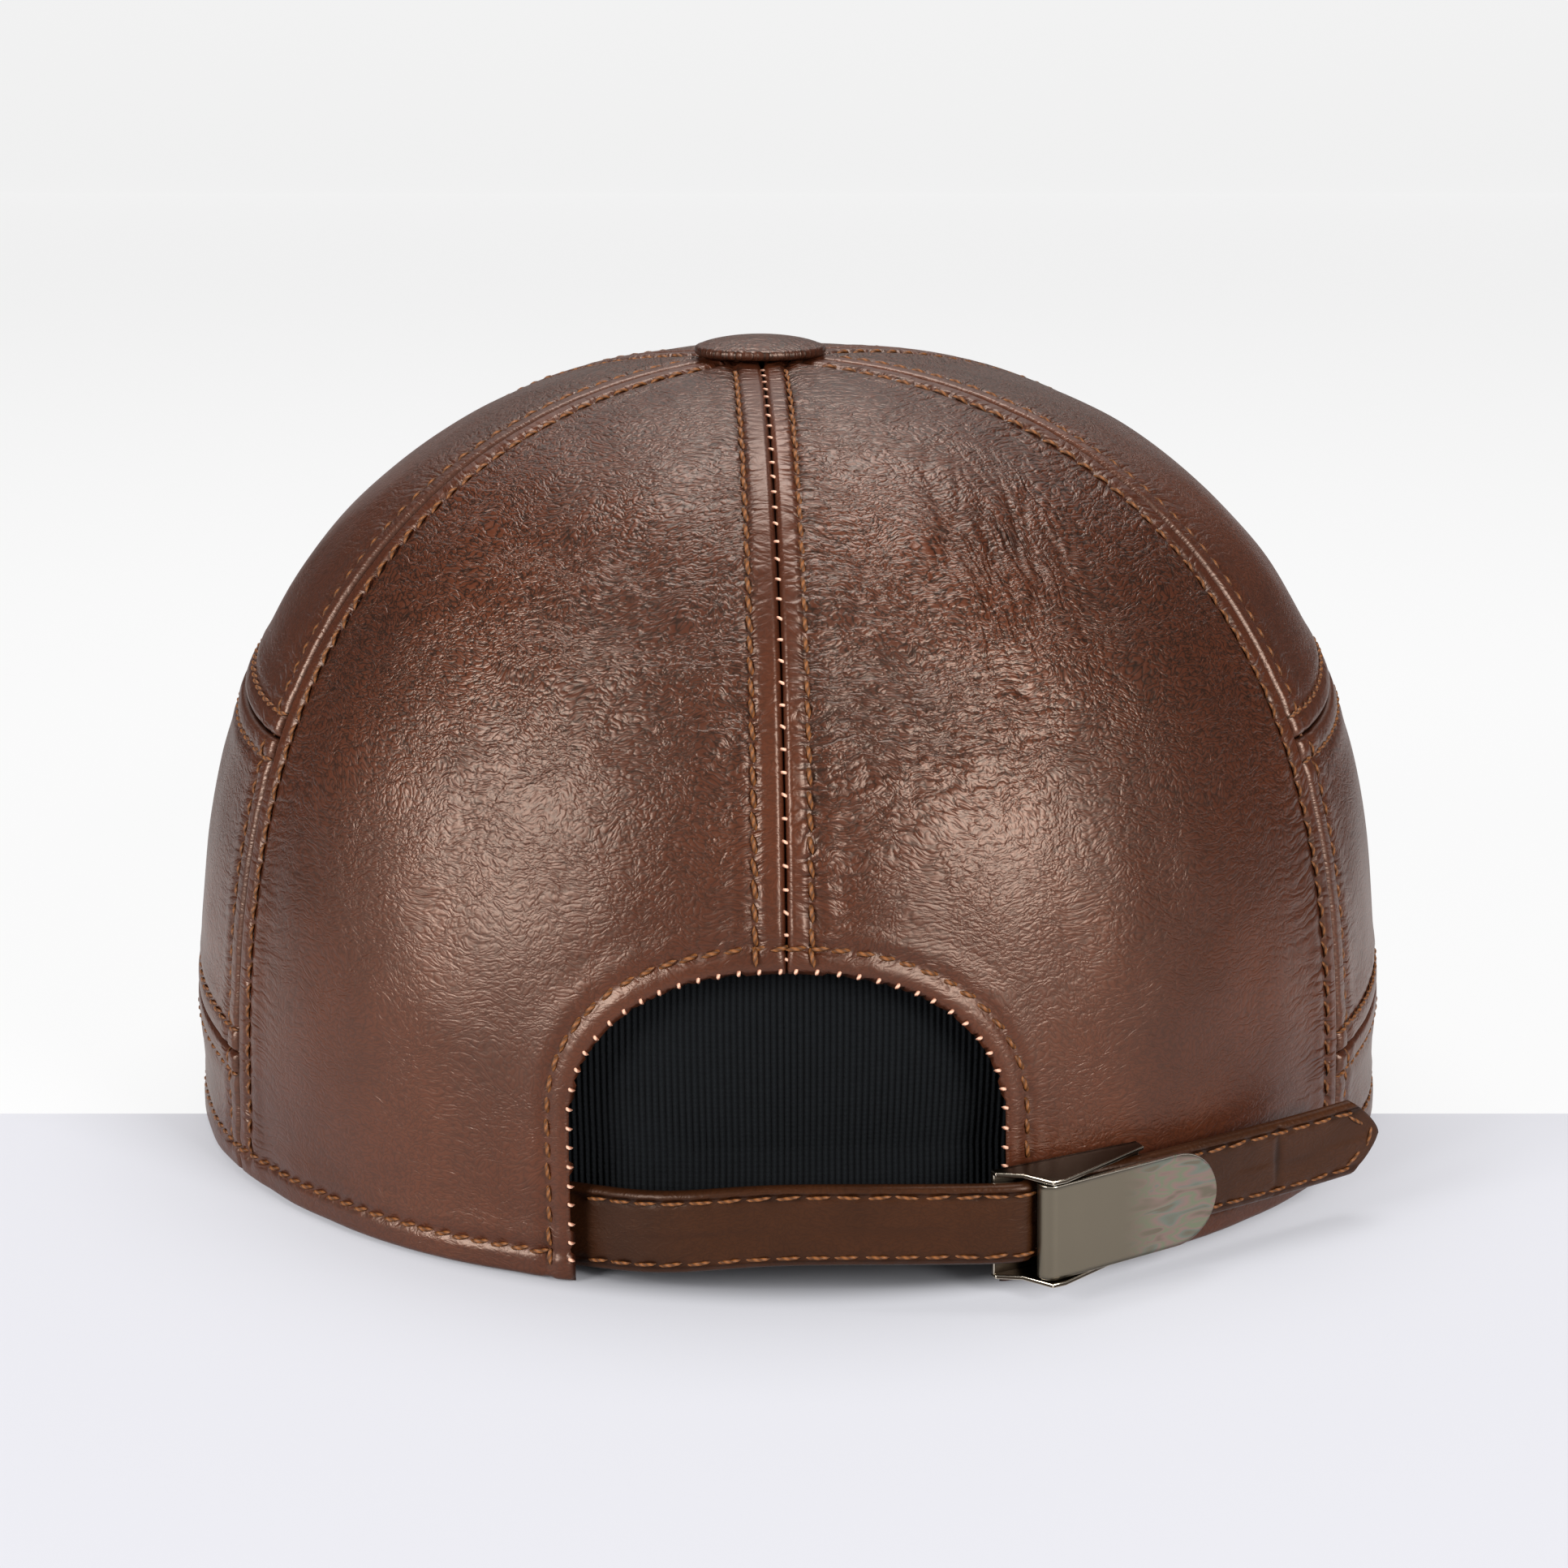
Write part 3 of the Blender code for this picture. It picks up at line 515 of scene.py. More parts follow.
def gore_surface(gore, azimuth, along, extra=0.0, fields=(0.0, 0.0)):
    """Outer face of a panel with its relief, its normals, its millimetre coordinates and its marks.
    along is the distance from the hem up the gore line. extra is added relief, and fields add to the
    marks for level and upright creases."""
    ring = ring_along(gore, along)
    shell = crown_shell(azimuth, ring)
    normal = crown_normal(azimuth, ring)
    width = gore_width(azimuth, ring)
    left = (azimuth - gore["start"]) * width
    right = (gore["end"] - azimuth) * width
    low_edge, high_edge = gore_limits(gore, azimuth)
    seed = gore["seed"]
    low = along - low_edge
    across = (azimuth - (gore["start"] + gore["end"]) / 2) * width
    clear = smooth_step((low - 1.0) / 3.0) if gore["low"] is None else np.ones_like(left)
    if gore["cut"]:
        gap = opening_distance(shell[..., 0], shell[..., 2])
        clear = clear * smooth_step((gap - 1.0) / 3.5)
    edges = np.zeros_like(left)
    drawn = np.zeros_like(left)
    pulled = np.zeros_like(left)
    for distance, row, shift in ((left, gore["rows"][0], 0), (right, gore["rows"][1], 7)):
        edges += turned_edge(distance, row, along, SEAM_SWELL) * clear
        drawn += clear * puckers(distance, row, along, seed + shift, PUCKER_REACH, gore["pucker"])
        pulled += clear * np.exp(-np.maximum(distance - row, 0) / PULL_REACH) * smooth_step(distance / row)
    level_edges = [(low, HEM_ROW if gore["low"] is None else STITCH_ROW)]
    from_seams = np.minimum(left, right)
    if gore["low"] is not None:
        from_seams = np.minimum(from_seams, low)
    if gore["high"] is not None:
        level_edges.append((high_edge - along, STITCH_ROW))
        from_seams = np.minimum(from_seams, high_edge - along)
    if gore["cut"]:
        level_edges.append((gap, OPENING_ROW))
    for index, (distance, row) in enumerate(level_edges):
        lengthwise = across + 0.6 * along
        edges += turned_edge(distance, row, lengthwise, LEVEL_SWELL)
        drawn += puckers(distance, row, lengthwise, seed + 20 + index, LEVEL_PUCKER_REACH, LEVEL_PUCKER)
    inner = smooth_step((from_seams - WAVES_START) / (WAVES_FULL - WAVES_START))
    waves = 0.0
    for index, (height, wide, tall) in enumerate(WAVES):
        waves = waves + height * smooth_noise(across / wide + 40, along / tall, seed + 40 + index)
    nearest = np.minimum.reduce([left, right] + [distance for distance, _ in level_edges])
    edges += quarter_roll(nearest)
    relief = edges + drawn + inner * waves + extra
    border = 1 - smooth_step(nearest / PRESSED_BORDER - 1)
    marks = {
        # The first mark is painted shade: darker where the edges roll into their seams and where the
        # stitch rows pinch.
        "crevice": smooth_step((-edges - 0.12) / 0.6),
        "pulled": pulled * gore["pucker"] / SEAM_PUCKER + fields[0],
        "creased": fields[1] + 0 * left,
        "smooth": np.maximum(border, 0.9 * (1 - smooth_step((low - PRESSED_HEM) / PRESSED_FADE))),
    }
    return shell + normal * relief[..., None], normal, together(across, along), marks


def grid_faces(rows, columns, wrap=False):
    """Quads of a grid stored row by row. wrap joins the last column to the first."""
    row, column = np.meshgrid(
        np.arange(rows - 1), np.arange(columns if wrap else columns - 1), indexing="ij"
    )
    after = (column + 1) % columns
    quads = [row * columns + column, row * columns + after]
    quads += [(row + 1) * columns + after, (row + 1) * columns + column]
    return np.stack(quads, axis=-1).reshape(-1, 4)


def new_piece(name, points, faces, materials, uv=None, marks=None):
    """An object in the cap's frame from crown points in millimetres. faces is a list of arrays.
    uv is kept in metres of leather, and marks are named numbers from 0 to 1 at each corner."""
    flat = points.reshape(-1, 3) * MM + np.array([0, CROWN_CENTRE_Y * MM, 0])
    mesh = bpy.data.meshes.new(name)
    listed = [face for group in faces for face in group.tolist()]
    mesh.from_pydata(flat.tolist(), [], listed)
    loops = np.empty(len(mesh.loops), np.int32)
    mesh.loops.foreach_get("vertex_index", loops)
    if uv is not None:
        layer = mesh.uv_layers.new(name="lie")
        layer.data.foreach_set("uv", (uv.reshape(-1, 2) * MM)[loops].ravel().astype(np.float32))
    for mark, values in (marks or {}).items():
        layer = mesh.attributes.new(mark, "FLOAT", "POINT")
        layer.data.foreach_set("value", np.clip(values, 0, 1).ravel().astype(np.float32))
    for material in materials:
        mesh.materials.append(material)
    mesh.shade_smooth()
    return link_scene(name, mesh)


def thicken(piece, thickness):
    """Gives a sheet its wall, grown inwards, with the second material on the hidden face."""
    wall = piece.modifiers.new("wall", "SOLIDIFY")
    wall.thickness = thickness * MM
    wall.offset = -1
    wall.material_offset = 1
    wall.material_offset_rim = 0


def cowhide(name, grain=1.25, shine=0.58, gloss=0.37, tone="#3d1b0d", worn="#4b2413"):
    """Semi-aniline full-grain cowhide under a satin top coat. Its grain is short wavy creases that lie
    across the panel, about 1.2 mm long and 0.6 mm apart, with the valleys dyed darker. Seams draw it into
    longer creases. The same dark colour paints shade into the longer creases, the seam grooves and the
    stitch pinches."""
    material, tree = start_material(name)
    lie = add_node(tree, "TexCoord").outputs["UV"]
    plane = {"noise_dimensions": "2D"}
    slow = add_node(tree, "TexNoise", {"Vector": lie, "Scale": 70.0, "Detail": 1.0}, **plane)
    swayed = {0: 0.006, 4: lie, 5: slow.outputs["Color"]}
    turned = add_node(tree, "Mix", swayed, data_type="VECTOR")
    quick = add_node(tree, "TexNoise", {"Vector": turned, "Scale": 420.0, "Detail": 1.0}, **plane)
    shaken = {0: 0.0011, 4: turned, 5: quick.outputs["Color"]}
    warped = add_node(tree, "Mix", shaken, data_type="VECTOR")

    def drawn_noise(x_pitch, y_pitch, detail):
        """Noise with one swell to each of these pitches, in millimetres."""
        stretch = {"Vector": warped, "Scale": (1 / (x_pitch * MM), 1 / (y_pitch * MM), 1)}
        lattice = {"Vector": add_node(tree, "Mapping", stretch), "Scale": 1.0, "Detail": detail}
        return add_node(tree, "TexNoise", lattice, **plane)

    def lines(x_pitch, y_pitch, detail, width):
        """Crease lines from 0 to 1: where drawn-out noise crosses its mean."""
        wander = drawn_noise(x_pitch, y_pitch, detail)
        away = add_node(tree, "Math", {0: wander, 1: 0.5}, operation="SUBTRACT")
        away = add_node(tree, "Math", {0: away}, operation="ABSOLUTE")
        valley = {"Value": away, "From Max": width, "To Min": 1.0, "To Max": 0.0}
        return add_node(tree, "MapRange", valley)

    mark = {
        key: add_node(tree, "Attribute", attribute_name=key).outputs["Fac"]
        for key in ("creased", "pulled", "smooth", "crevice")
    }
    fine = lines(*FINE_GRAIN)
    ripples = drawn_noise(*RIPPLES)
    pebbles = {"Vector": warped, "Scale": 1900.0, "Smoothness": 0.4}
    cells = add_node(tree, "TexVoronoi", pebbles, feature="SMOOTH_F1", voronoi_dimensions="2D")
    long_creases = lines(*LONG_CREASES)
    upright = {0: lines(*UPRIGHT_CREASES), 1: mark["creased"]}
    upright = add_node(tree, "Math", upright, operation="MULTIPLY")
    at_seams = {0: lines(*SEAM_CREASES), 1: mark["pulled"]}
    at_seams = add_node(tree, "Math", at_seams, operation="MULTIPLY")
    flattened = {0: mark["smooth"], 1: -0.7 * grain, 2: grain}
    strength = add_node(tree, "Math", flattened, operation="MULTIPLY_ADD")

    height = add_node(tree, "Math", {0: cells, 1: -CELL_DEPTH}, operation="MULTIPLY")
    for pattern, depth in ((fine, -FINE_DEPTH), (ripples, RIPPLE_HEIGHT), (long_creases, -LONG_DEPTH)):
        height = add_node(tree, "Math", {0: pattern, 1: depth, 2: height}, operation="MULTIPLY_ADD")
    draws = add_node(tree, "Math", {0: at_seams, 1: -SEAM_DEPTH}, operation="MULTIPLY")
    draws = add_node(tree, "Math", {0: upright, 1: -UPRIGHT_DEPTH, 2: draws}, operation="MULTIPLY_ADD")
    height = add_node(tree, "Math", {0: height, 1: strength, 2: draws}, operation="MULTIPLY_ADD")
    bump = add_node(tree, "Bump", {"Height": height, "Distance": MM, "Strength": 1.0})

    clouds = {"Vector": lie, "Scale": 26.0, "Detail": 4.0, "Roughness": 0.6}
    patches = add_node(tree, "TexNoise", clouds, **plane)
    spread = add_node(tree, "MapRange", {"Value": patches, "From Min": 0.36, "From Max": 0.66})
    body = add_node(tree, "Mix", {0: spread, 6: linear(tone), 7: linear(worn)}, data_type="RGBA")
    # Painted shade: the longer creases darken, and so do the seam grooves and pinches under the shade
    # mark.
    drawn = add_node(tree, "Math", {0: upright, 1: at_seams}, operation="MAXIMUM")
    drawn = add_node(tree, "Math", {0: drawn, 1: 4.0}, operation="POWER")
    dye_and_shade = add_node(tree, "Math", {0: fine, 1: 3.0}, operation="POWER")
    dye_and_shade = add_node(tree, "Math", {0: dye_and_shade, 1: strength}, operation="MULTIPLY")
    for other in (drawn, mark["crevice"]):
        dye_and_shade = add_node(tree, "Math", {0: dye_and_shade, 1: other}, operation="MAXIMUM")
    satin = {"Value": patches, "To Min": gloss + 0.07, "To Max": gloss - 0.07}
    finish = {
        "Base Color": add_node(tree, "Mix", {0: dye_and_shade, 6: body, 7: linear(DYE_AND_SHADE_COLOUR)}, data_type="RGBA"),
        "Roughness": add_node(tree, "MapRange", satin),
        "Normal": bump,
        "Specular IOR Level": shine,
        "Specular Tint": linear(WARM_COAT),
    }
    return end_material(material, finish)


def flesh_side():
    """The undyed flesh side of the hide: brushed, matt and lighter than the grain side."""
    material, tree = start_material("brushed_flesh_side")
    place = add_node(tree, "TexCoord").outputs["Object"]
    nap = add_node(tree, "TexNoise", {"Vector": place, "Scale": 1400.0, "Detail": 4.0})
    patches = add_node(tree, "TexNoise", {"Vector": place, "Scale": 60.0, "Detail": 3.0})
    tones = {0: patches, 6: linear("#5a3a29"), 7: linear("#7a5640")}
    finish = {
        "Base Color": add_node(tree, "Mix", tones, data_type="RGBA"),
        "Roughness": 0.95,
        "Normal": add_node(tree, "Bump", {"Height": nap, "Distance": 0.0002, "Strength": 0.8}),
        "Sheen Weight": 0.25,
    }
    return end_material(material, finish)


crown_leather = cowhide("pebbled_cowhide")
flesh = flesh_side()


def cut_opening(points, faces, size):
    """Trims a back panel to the opening. Corners within half a step of its line move onto it, and
    faces inside are dropped, or kept as a triangle where one corner is lost."""
    x, z = points[..., 0].ravel(), points[..., 2].ravel()
    gap = opening_distance(x, z)
    step = 0.05
    slope_x = (opening_distance(x + step, z) - gap) / step
    slope_z = (opening_distance(x, z + step) - gap) / step
    near = np.abs(gap) < size * 0.55
    length = np.maximum(slope_x**2 + slope_z**2, 1e-6)
    flat = points.reshape(-1, 3)
    flat[near, 0] -= (gap * slope_x / length)[near]
    flat[near, 2] -= (gap * slope_z / length)[near]
    kept = (gap > 0) | near
    count = kept[faces].sum(axis=1)
    quads = faces[count == 4]
    corners = faces[count == 3]
    lost = np.argmin(kept[corners], axis=1)
    order = (lost[:, None] + np.arange(1, 4)) % 4
    triangles = np.take_along_axis(corners, order, axis=1)
    used = np.unique(np.concatenate([quads.ravel(), triangles.ravel()]))
    place = np.full(len(flat), -1)
    place[used] = np.arange(len(used))
    return flat[used], [place[quads], place[triangles]], used


def add_gore(name, gore, edge_step, middle_step, extra, hide):
    """Makes one panel: a grid between its seams and edges, trimmed where the opening cuts it."""
    middle = np.array([(gore["start"] + gore["end"]) / 2])
    width = (gore["end"] - gore["start"]) * gore_width(middle, 1.0)[0]
    start, end = gore_limits(gore, middle)
    columns = spaced(width, edge_step, middle_step)
    rows = spaced(end[0] - start[0], edge_step, middle_step, (1, gore["high"] is not None))
    share, rise = np.meshgrid(columns, rows)
    azimuth = gore["start"] + (gore["end"] - gore["start"]) * share
    low, high = gore_limits(gore, azimuth)
    along = low + (high - low) * rise
    ring = ring_along(gore, along)
    inset = SEAM_HALF_GAP / gore_width(azimuth, ring)
    azimuth = azimuth + inset * (1 - 2 * share)
    added, fields = (0.0, (0.0, 0.0)) if extra is None else extra(gore, azimuth, along)
    points, _, lie, marks = gore_surface(gore, azimuth, along, added, fields)
    points[0, :, 2] = hem_height(azimuth[0]) if gore["low"] is None else points[0, :, 2]
    groups = [grid_faces(*share.shape)]
    if gore["cut"]:
        points, groups, used = cut_opening(points, groups[0], middle_step)
        lie = lie.reshape(-1, 2)[used]
        marks = {mark: values.ravel()[used] for mark, values in marks.items()}
    piece = new_piece(name, points, groups, [hide, flesh], lie, marks)
    thicken(piece, LEATHER - 0.3)
    return piece


def left_panel_marks(gore, azimuth, along):
    """Handling marks of the left panel: a soft dent at its side and a few faint level creases by the
    centre seam."""
    from_seam = -azimuth * gore_width(azimuth, ring_along(gore, along))
    dent = -0.35 * hump(from_seam - 62, 16) * hump(along - 86, 26)
    field = hump(from_seam - 12, 13) * hump(along - 80, 14)
    level = creases(from_seam / 16, along / 3.1 + from_seam / 40, 61, 0.2)
    return dent - 0.22 * level * field, (0.3 * field, 0.0)


def right_panel_marks(gore, azimuth, along):
    """Handling marks of the right panel: upright winding creases high up, with short level ones
    below them, nearer to the centre seam."""
    from_seam = azimuth * gore_width(azimuth, ring_along(gore, along))
    sway = 1.6 * smooth_noise(from_seam / 7, along / 6, 72)
    upright = creases((from_seam + sway) / 2.6 + along / 50, along / 15, 71, 0.12)
    high_field = hump(from_seam - 32, 14) * hump(along - 107, 16)
    level = creases(from_seam / 7 + 9, (along + sway) / 2.3, 73, 0.24)
    low_field = hump(from_seam - 22, 17) * hump(along - 78, 13)
    rumple = 0.3 * smooth_noise(from_seam / 5, along / 9, 76) * (high_field + 0.5 * low_field)
    relief = rumple - 0.40 * upright * high_field - 0.30 * level * low_field
    return relief, (0.9 * low_field, high_field)


def add_panels(gores, edge_step, middle_step, hide=crown_leather, marks=None):
    """Makes the panels of a group, each with its own handling marks if it has any."""
    for name, gore in gores.items():
        extra = (marks or {}).get(name)
        panel = add_gore(name + "_leather", gore, edge_step, middle_step, extra, hide)
        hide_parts(name)
        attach(panel, "cap")


back_left = new_gore(-1, 0, None, None, (STITCH_ROW, CENTRE_ROW_LEFT), 101)
back_right = new_gore(1, 0, None, None, (CENTRE_ROW_RIGHT, STITCH_ROW), 211, SEAM_PUCKER)
back_gores = {"back_panel_left": back_left, "back_panel_right": back_right}
back_marks = {"back_panel_left": left_panel_marks, "back_panel_right": right_panel_marks}
add_panels(back_gores, 0.35, 0.72, marks=back_marks)

# Side gores: three pieces of the same hide, joined by two level seams that are topstitched on both
# sides. The lower one is drawn up in small puckers.
side_gores = {}
for side, hand, seed in ((-1, "left", 300), (1, "right", 400)):
    rows = (STITCH_ROW, STITCH_ROW)
    side_gores["side_band_" + hand] = new_gore(side, 1, None, SIDE_LOW_SEAM, rows, seed)
    side_gores["side_panel_" + hand] = new_gore(side, 1, SIDE_LOW_SEAM, SIDE_HIGH_SEAM, rows, seed + 30)
    side_gores["side_crown_" + hand] = new_gore(side, 1, SIDE_HIGH_SEAM, None, rows, seed + 60)
side_leather = cowhide("stretched_cowhide", grain=1.7, shine=0.75, gloss=0.39)
add_panels(side_gores, 0.4, 1.3, side_leather)

# Front gores: two plain panels of the same hide, whose hem climbs onto the peak.
front_gores = {
    "front_panel_left": new_gore(-1, 2, None, None, (CENTRE_ROW_LEFT, STITCH_ROW), 500),
    "front_panel_right": new_gore(1, 2, None, None, (STITCH_ROW, CENTRE_ROW_LEFT), 600),
}
add_panels(front_gores, 0.4, 1.4)

# Peak: a stiff bent board between two layers of hide, tucked under the front hem. Its edge is
# closed by one row of topstitching.
PEAK_TUCK = 1.4
SEAM_DIP = 0.8
PEAK_ROW = 4.0


def peak_section(turn, side, share_in, fall, sink):
    """Points of the peak's skin at a turn round its outline. share_in runs from the hem to the
    front edge, less fall millimetres, and sink lies below the upper face."""
    tuck = 1 - (LEATHER + SEAM_DIP + PEAK_TUCK) / HALF_WIDTH
    azimuth = PEAK_END_AZIMUTH + (np.pi - PEAK_END_AZIMUTH) * turn / (np.pi / 2)
    inner_x, inner_y, _ = crown_rim(azimuth)
    outer_x, outer_y = peak_outline(turn)
    inner = together(inner_x * tuck, inner_y * tuck)
    span = together(outer_x, outer_y) - inner
    length = np.linalg.norm(span, axis=-1)
    at = inner + span * (share_in * (1 - fall / length))[..., None]
    x, y = at[..., 0], at[..., 1]
    return together(side * x, y, peak_top(x, y) - sink), length


def closed_tube(rows, loop):
    """Quads of a tube made of closed loops, and one face over each end."""
    end = np.arange(loop)[None]
    return [grid_faces(rows, loop, wrap=True), end[:, ::-1], end + (rows - 1) * loop]


EDGE_POINTS = 13
UPPER_POINTS = 60
LOWER_POINTS = 24
PEAK_COLUMNS = 261
half_round = PEAK_THICKNESS / 2
arc = np.linspace(0, np.pi, EDGE_POINTS)
upper = 1 - (1 - np.linspace(0, 1, UPPER_POINTS + 1)[:-1]) ** 1.6
lower = np.linspace(1, 0, LOWER_POINTS + 1)[1:]
share_in = np.concatenate([upper, np.ones(EDGE_POINTS), lower])
fall = half_round * np.concatenate([np.ones(UPPER_POINTS), 1 - np.sin(arc), np.ones(LOWER_POINTS)])
sink = half_round * np.concatenate([np.zeros(UPPER_POINTS), 1 - np.cos(arc), np.full(LOWER_POINTS, 2)])
position = np.linspace(-1, 1, PEAK_COLUMNS)[:, None]
side = np.where(position < 0, -1.0, 1.0)
turns = np.pi / 2 * (1 - np.abs(position)) * np.ones_like(share_in)
points, length = peak_section(turns, side, share_in, fall, sink)
from_edge = length * (1 - share_in) + fall
pinch = -0.3 * hump(from_edge - PEAK_ROW, 0.6) * (sink == 0)
ripple = 0.25 * smooth_noise(points[..., 0] / 30, points[..., 1] / 26, 700) * (sink == 0)
points[..., 2] += pinch + ripple * smooth_step((from_edge - 3) / 8)
# Its shade mark is painted shade in the pinch along the stitch row.
peak = new_piece(
    "peak_leather",
    points,
    closed_tube(*pinch.shape),
    [crown_leather],
    points[..., :2],
    {"crevice": smooth_step(-pinch / 0.4), "smooth": np.full(pinch.shape, 0.3)},
)
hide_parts("peak")
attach(peak, "cap")

# Top button: a 20 mm metal blank covered with the same hide, on a shank through the pole.
BUTTON_RADIUS = 10.0
BUTTON_RIM = 1.6
BUTTON_DOME = 1.4
BUTTON_SEAT = 0.3
BUTTON_SHANK_RADIUS = 1.6
BUTTON_SHANK = 4.5

BUTTON_SIDES = 96
dome = np.linspace(0, 1, 26)
bead = np.pi * np.linspace(0.05, 1, 14)
half_rim = BUTTON_RIM / 2
radius = np.concatenate([
    (BUTTON_RADIUS - half_rim) * dome[1:],
    BUTTON_RADIUS - half_rim + half_rim * np.sin(bead),
    [BUTTON_SHANK_RADIUS, BUTTON_SHANK_RADIUS],
])
level = np.concatenate([
    (BUTTON_RIM + BUTTON_DOME * (1 - dome**2) ** 0.8)[1:],
    half_rim + half_rim * np.cos(bead),
    [0.0, -BUTTON_SHANK],
])
turn = np.linspace(0, 2 * np.pi, BUTTON_SIDES, endpoint=False)
up, east, north = np.eye(3)[[2, 0, 1]]
pleat = 1 + 0.006 * smooth_noise(turn[None] * 7, radius[:, None] * 0.2, 720) * (level[:, None] < 2.4)
flat = (east * np.cos(turn)[:, None] + north * np.sin(turn)[:, None])[None]
points = crown_shell(0.1, 0.005) + flat * (radius[:, None] * pleat)[..., None]
# Its shade mark is painted shade, darker towards the bottom of the bead and on the shank.
button = new_piece(
    "button_leather",
    points + up * (level[:, None, None] + BUTTON_SEAT),
    closed_tube(len(radius), BUTTON_SIDES),
    [crown_leather],
    (flat * radius[:, None, None])[..., :2],
    {"crevice": np.repeat(smooth_step((2.4 - level) / 2.4) * 0.6, BUTTON_SIDES)},
)
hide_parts("top_button")
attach(button, "cap")

# Topstitching: bonded polyester thread of about 0.5 mm, tan, in lockstitches of 3 mm that sink into
# their holes. Paler thread closes the seams inside and shows in the open grooves.
THREAD_RADIUS = 0.33
STITCH_SHOWN = 2.95


def sewing_thread(name, hex_light, hex_hollow_shade):
    """Bonded three-ply polyester: a satin, slightly fuzzy twist, with painted shade in the hollows between
    its plies.
    """
    material, tree = start_material(name)
    lie = add_node(tree, "TexCoord").outputs["UV"]
    turned = add_node(tree, "Mapping", {"Vector": lie, "Rotation": (0, 0, 0.9)})
    twist = add_node(tree, "TexWave", {"Vector": turned, "Scale": 420.0, "Distortion": 0.6})
    plies = twist.outputs["Fac"]
    tones = {0: plies, 6: linear(hex_hollow_shade), 7: linear(hex_light)}
    finish = {
        "Base Color": add_node(tree, "Mix", tones, data_type="RGBA"),
        "Roughness": 0.55,
        "Normal": add_node(tree, "Bump", {"Height": plies, "Distance": 0.00008, "Strength": 1.0}),
        "Specular IOR Level": 0.3,
    }
    return end_material(material, finish)


tan_thread = sewing_thread("tan_bonded_thread", "#7b4a22", "#4b2b12")
pale_thread = sewing_thread("pale_bonded_thread", "#dcae94", "#8d5a44")


def stitch_mesh(centre, forward, outward, length, radius, slant, rise):
    """Points of many stitches at once: each is a tube that arches over the leather and tapers into
    its two holes, turned by slant about the outward direction."""
    stations = np.linspace(-1, 1, 7)
    sides = np.linspace(0, 2 * np.pi, 6, endpoint=False)
    across = np.cross(outward, forward)
    turned = forward * np.cos(slant)[:, None] + across * np.sin(slant)[:, None]
    beside = np.cross(outward, turned)
    run = stations * length / 2
    lift = rise * (1 - np.abs(stations) ** 2.5) - radius * 1.1 * np.abs(stations) ** 3
    girth = radius * np.maximum(1 - np.abs(stations) ** 4, 0.12)
    spine = centre[:, None] + turned[:, None] * run[:, None] + outward[:, None] * lift[:, None]
    ring = (
        beside[:, None, None] * np.cos(sides)[:, None]
        + outward[:, None, None] * (0.8 * np.sin(sides))[:, None]
    )
    points = spine[:, :, None] + ring * girth[:, None, None]
    uv = np.stack(np.broadcast_arrays(run[:, None], sides * radius), axis=-1)
    return points, np.broadcast_to(uv, points.shape[:3] + (2,))


def add_stitches(name, thread, rows):
    """Joins rows of stitches into one piece. Each row is what stitch_mesh needs, as a tuple."""
    made = [stitch_mesh(*row) for row in rows]
    points = np.concatenate([p for p, _ in made])
    uv = np.concatenate([u for _, u in made])
    count, stations, sides = points.shape[:3]
    offsets = (np.arange(count) * stations * sides)[:, None, None]
    tube = [faces[None, :, ::-1] for faces in closed_tube(stations, sides)]
    groups = [(faces + offsets).reshape(-1, faces.shape[-1]) for faces in tube]
    piece = new_piece(name, points, groups, [thread], uv)
    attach(piece, "cap")


def at_distance(path, distances, at):
    """Points of a path, or directions along it, at these distances, from the distance to each of its
    points."""
    return together(*(np.interp(at, distances, axis) for axis in path.T))


def stitched_line(path, outward, pitch, length, radius, slant, seed, rise=0.22, lift=0.12):
    """Stitches evenly spaced along a dense path, each a little uneven, lying lift above it."""
    distances = travelled(path)
    count = max(2, int(distances[-1] / pitch))
    random = np.random.default_rng(seed)
    at = (np.arange(count) + 0.5) * distances[-1] / count + random.normal(0, 0.06, count)
    centre, ahead, back = (at_distance(path, distances, at + step) for step in (0, 0.4, -0.4))
    forward = unit(ahead - back)
    out = at_distance(outward, distances, at)
    out = unit(out - forward * np.sum(out * forward, axis=1, keepdims=True))
    tilt = slant + random.normal(0, 0.05, count)
    return centre + out * lift, forward, out, length, radius, tilt, rise


def seam_row(gore, edge, row, first, last):
    """A path up a gore at a fixed distance from its left (0) or right (1) seam."""
    along = np.linspace(first, last, 500)
    ring = ring_along(gore, along)
    azimuth = np.full_like(along, gore["start"] if edge == 0 else gore["end"])
    for _ in range(3):
        offset = row / gore_width(azimuth, ring)
        azimuth = gore["start"] + offset if edge == 0 else gore["end"] - offset
    return gore_surface(gore, azimuth, along)[:2]


def level_row(gore, distance, from_top):
    """A path across a gore at a fixed distance from its lower or upper edge."""
    azimuth = np.linspace(gore["start"], gore["end"], 402)[1:-1]
    low, high = gore_limits(gore, azimuth)
    along = high - distance if from_top else low + distance
    return gore_surface(gore, azimuth, along)[:2]


def stop_at_opening(path, normals, margin):
    """Leaves out what lies nearer than margin to the opening."""
    clear = opening_distance(path[:, 0], path[:, 2]) > margin
    return path[clear], normals[clear]


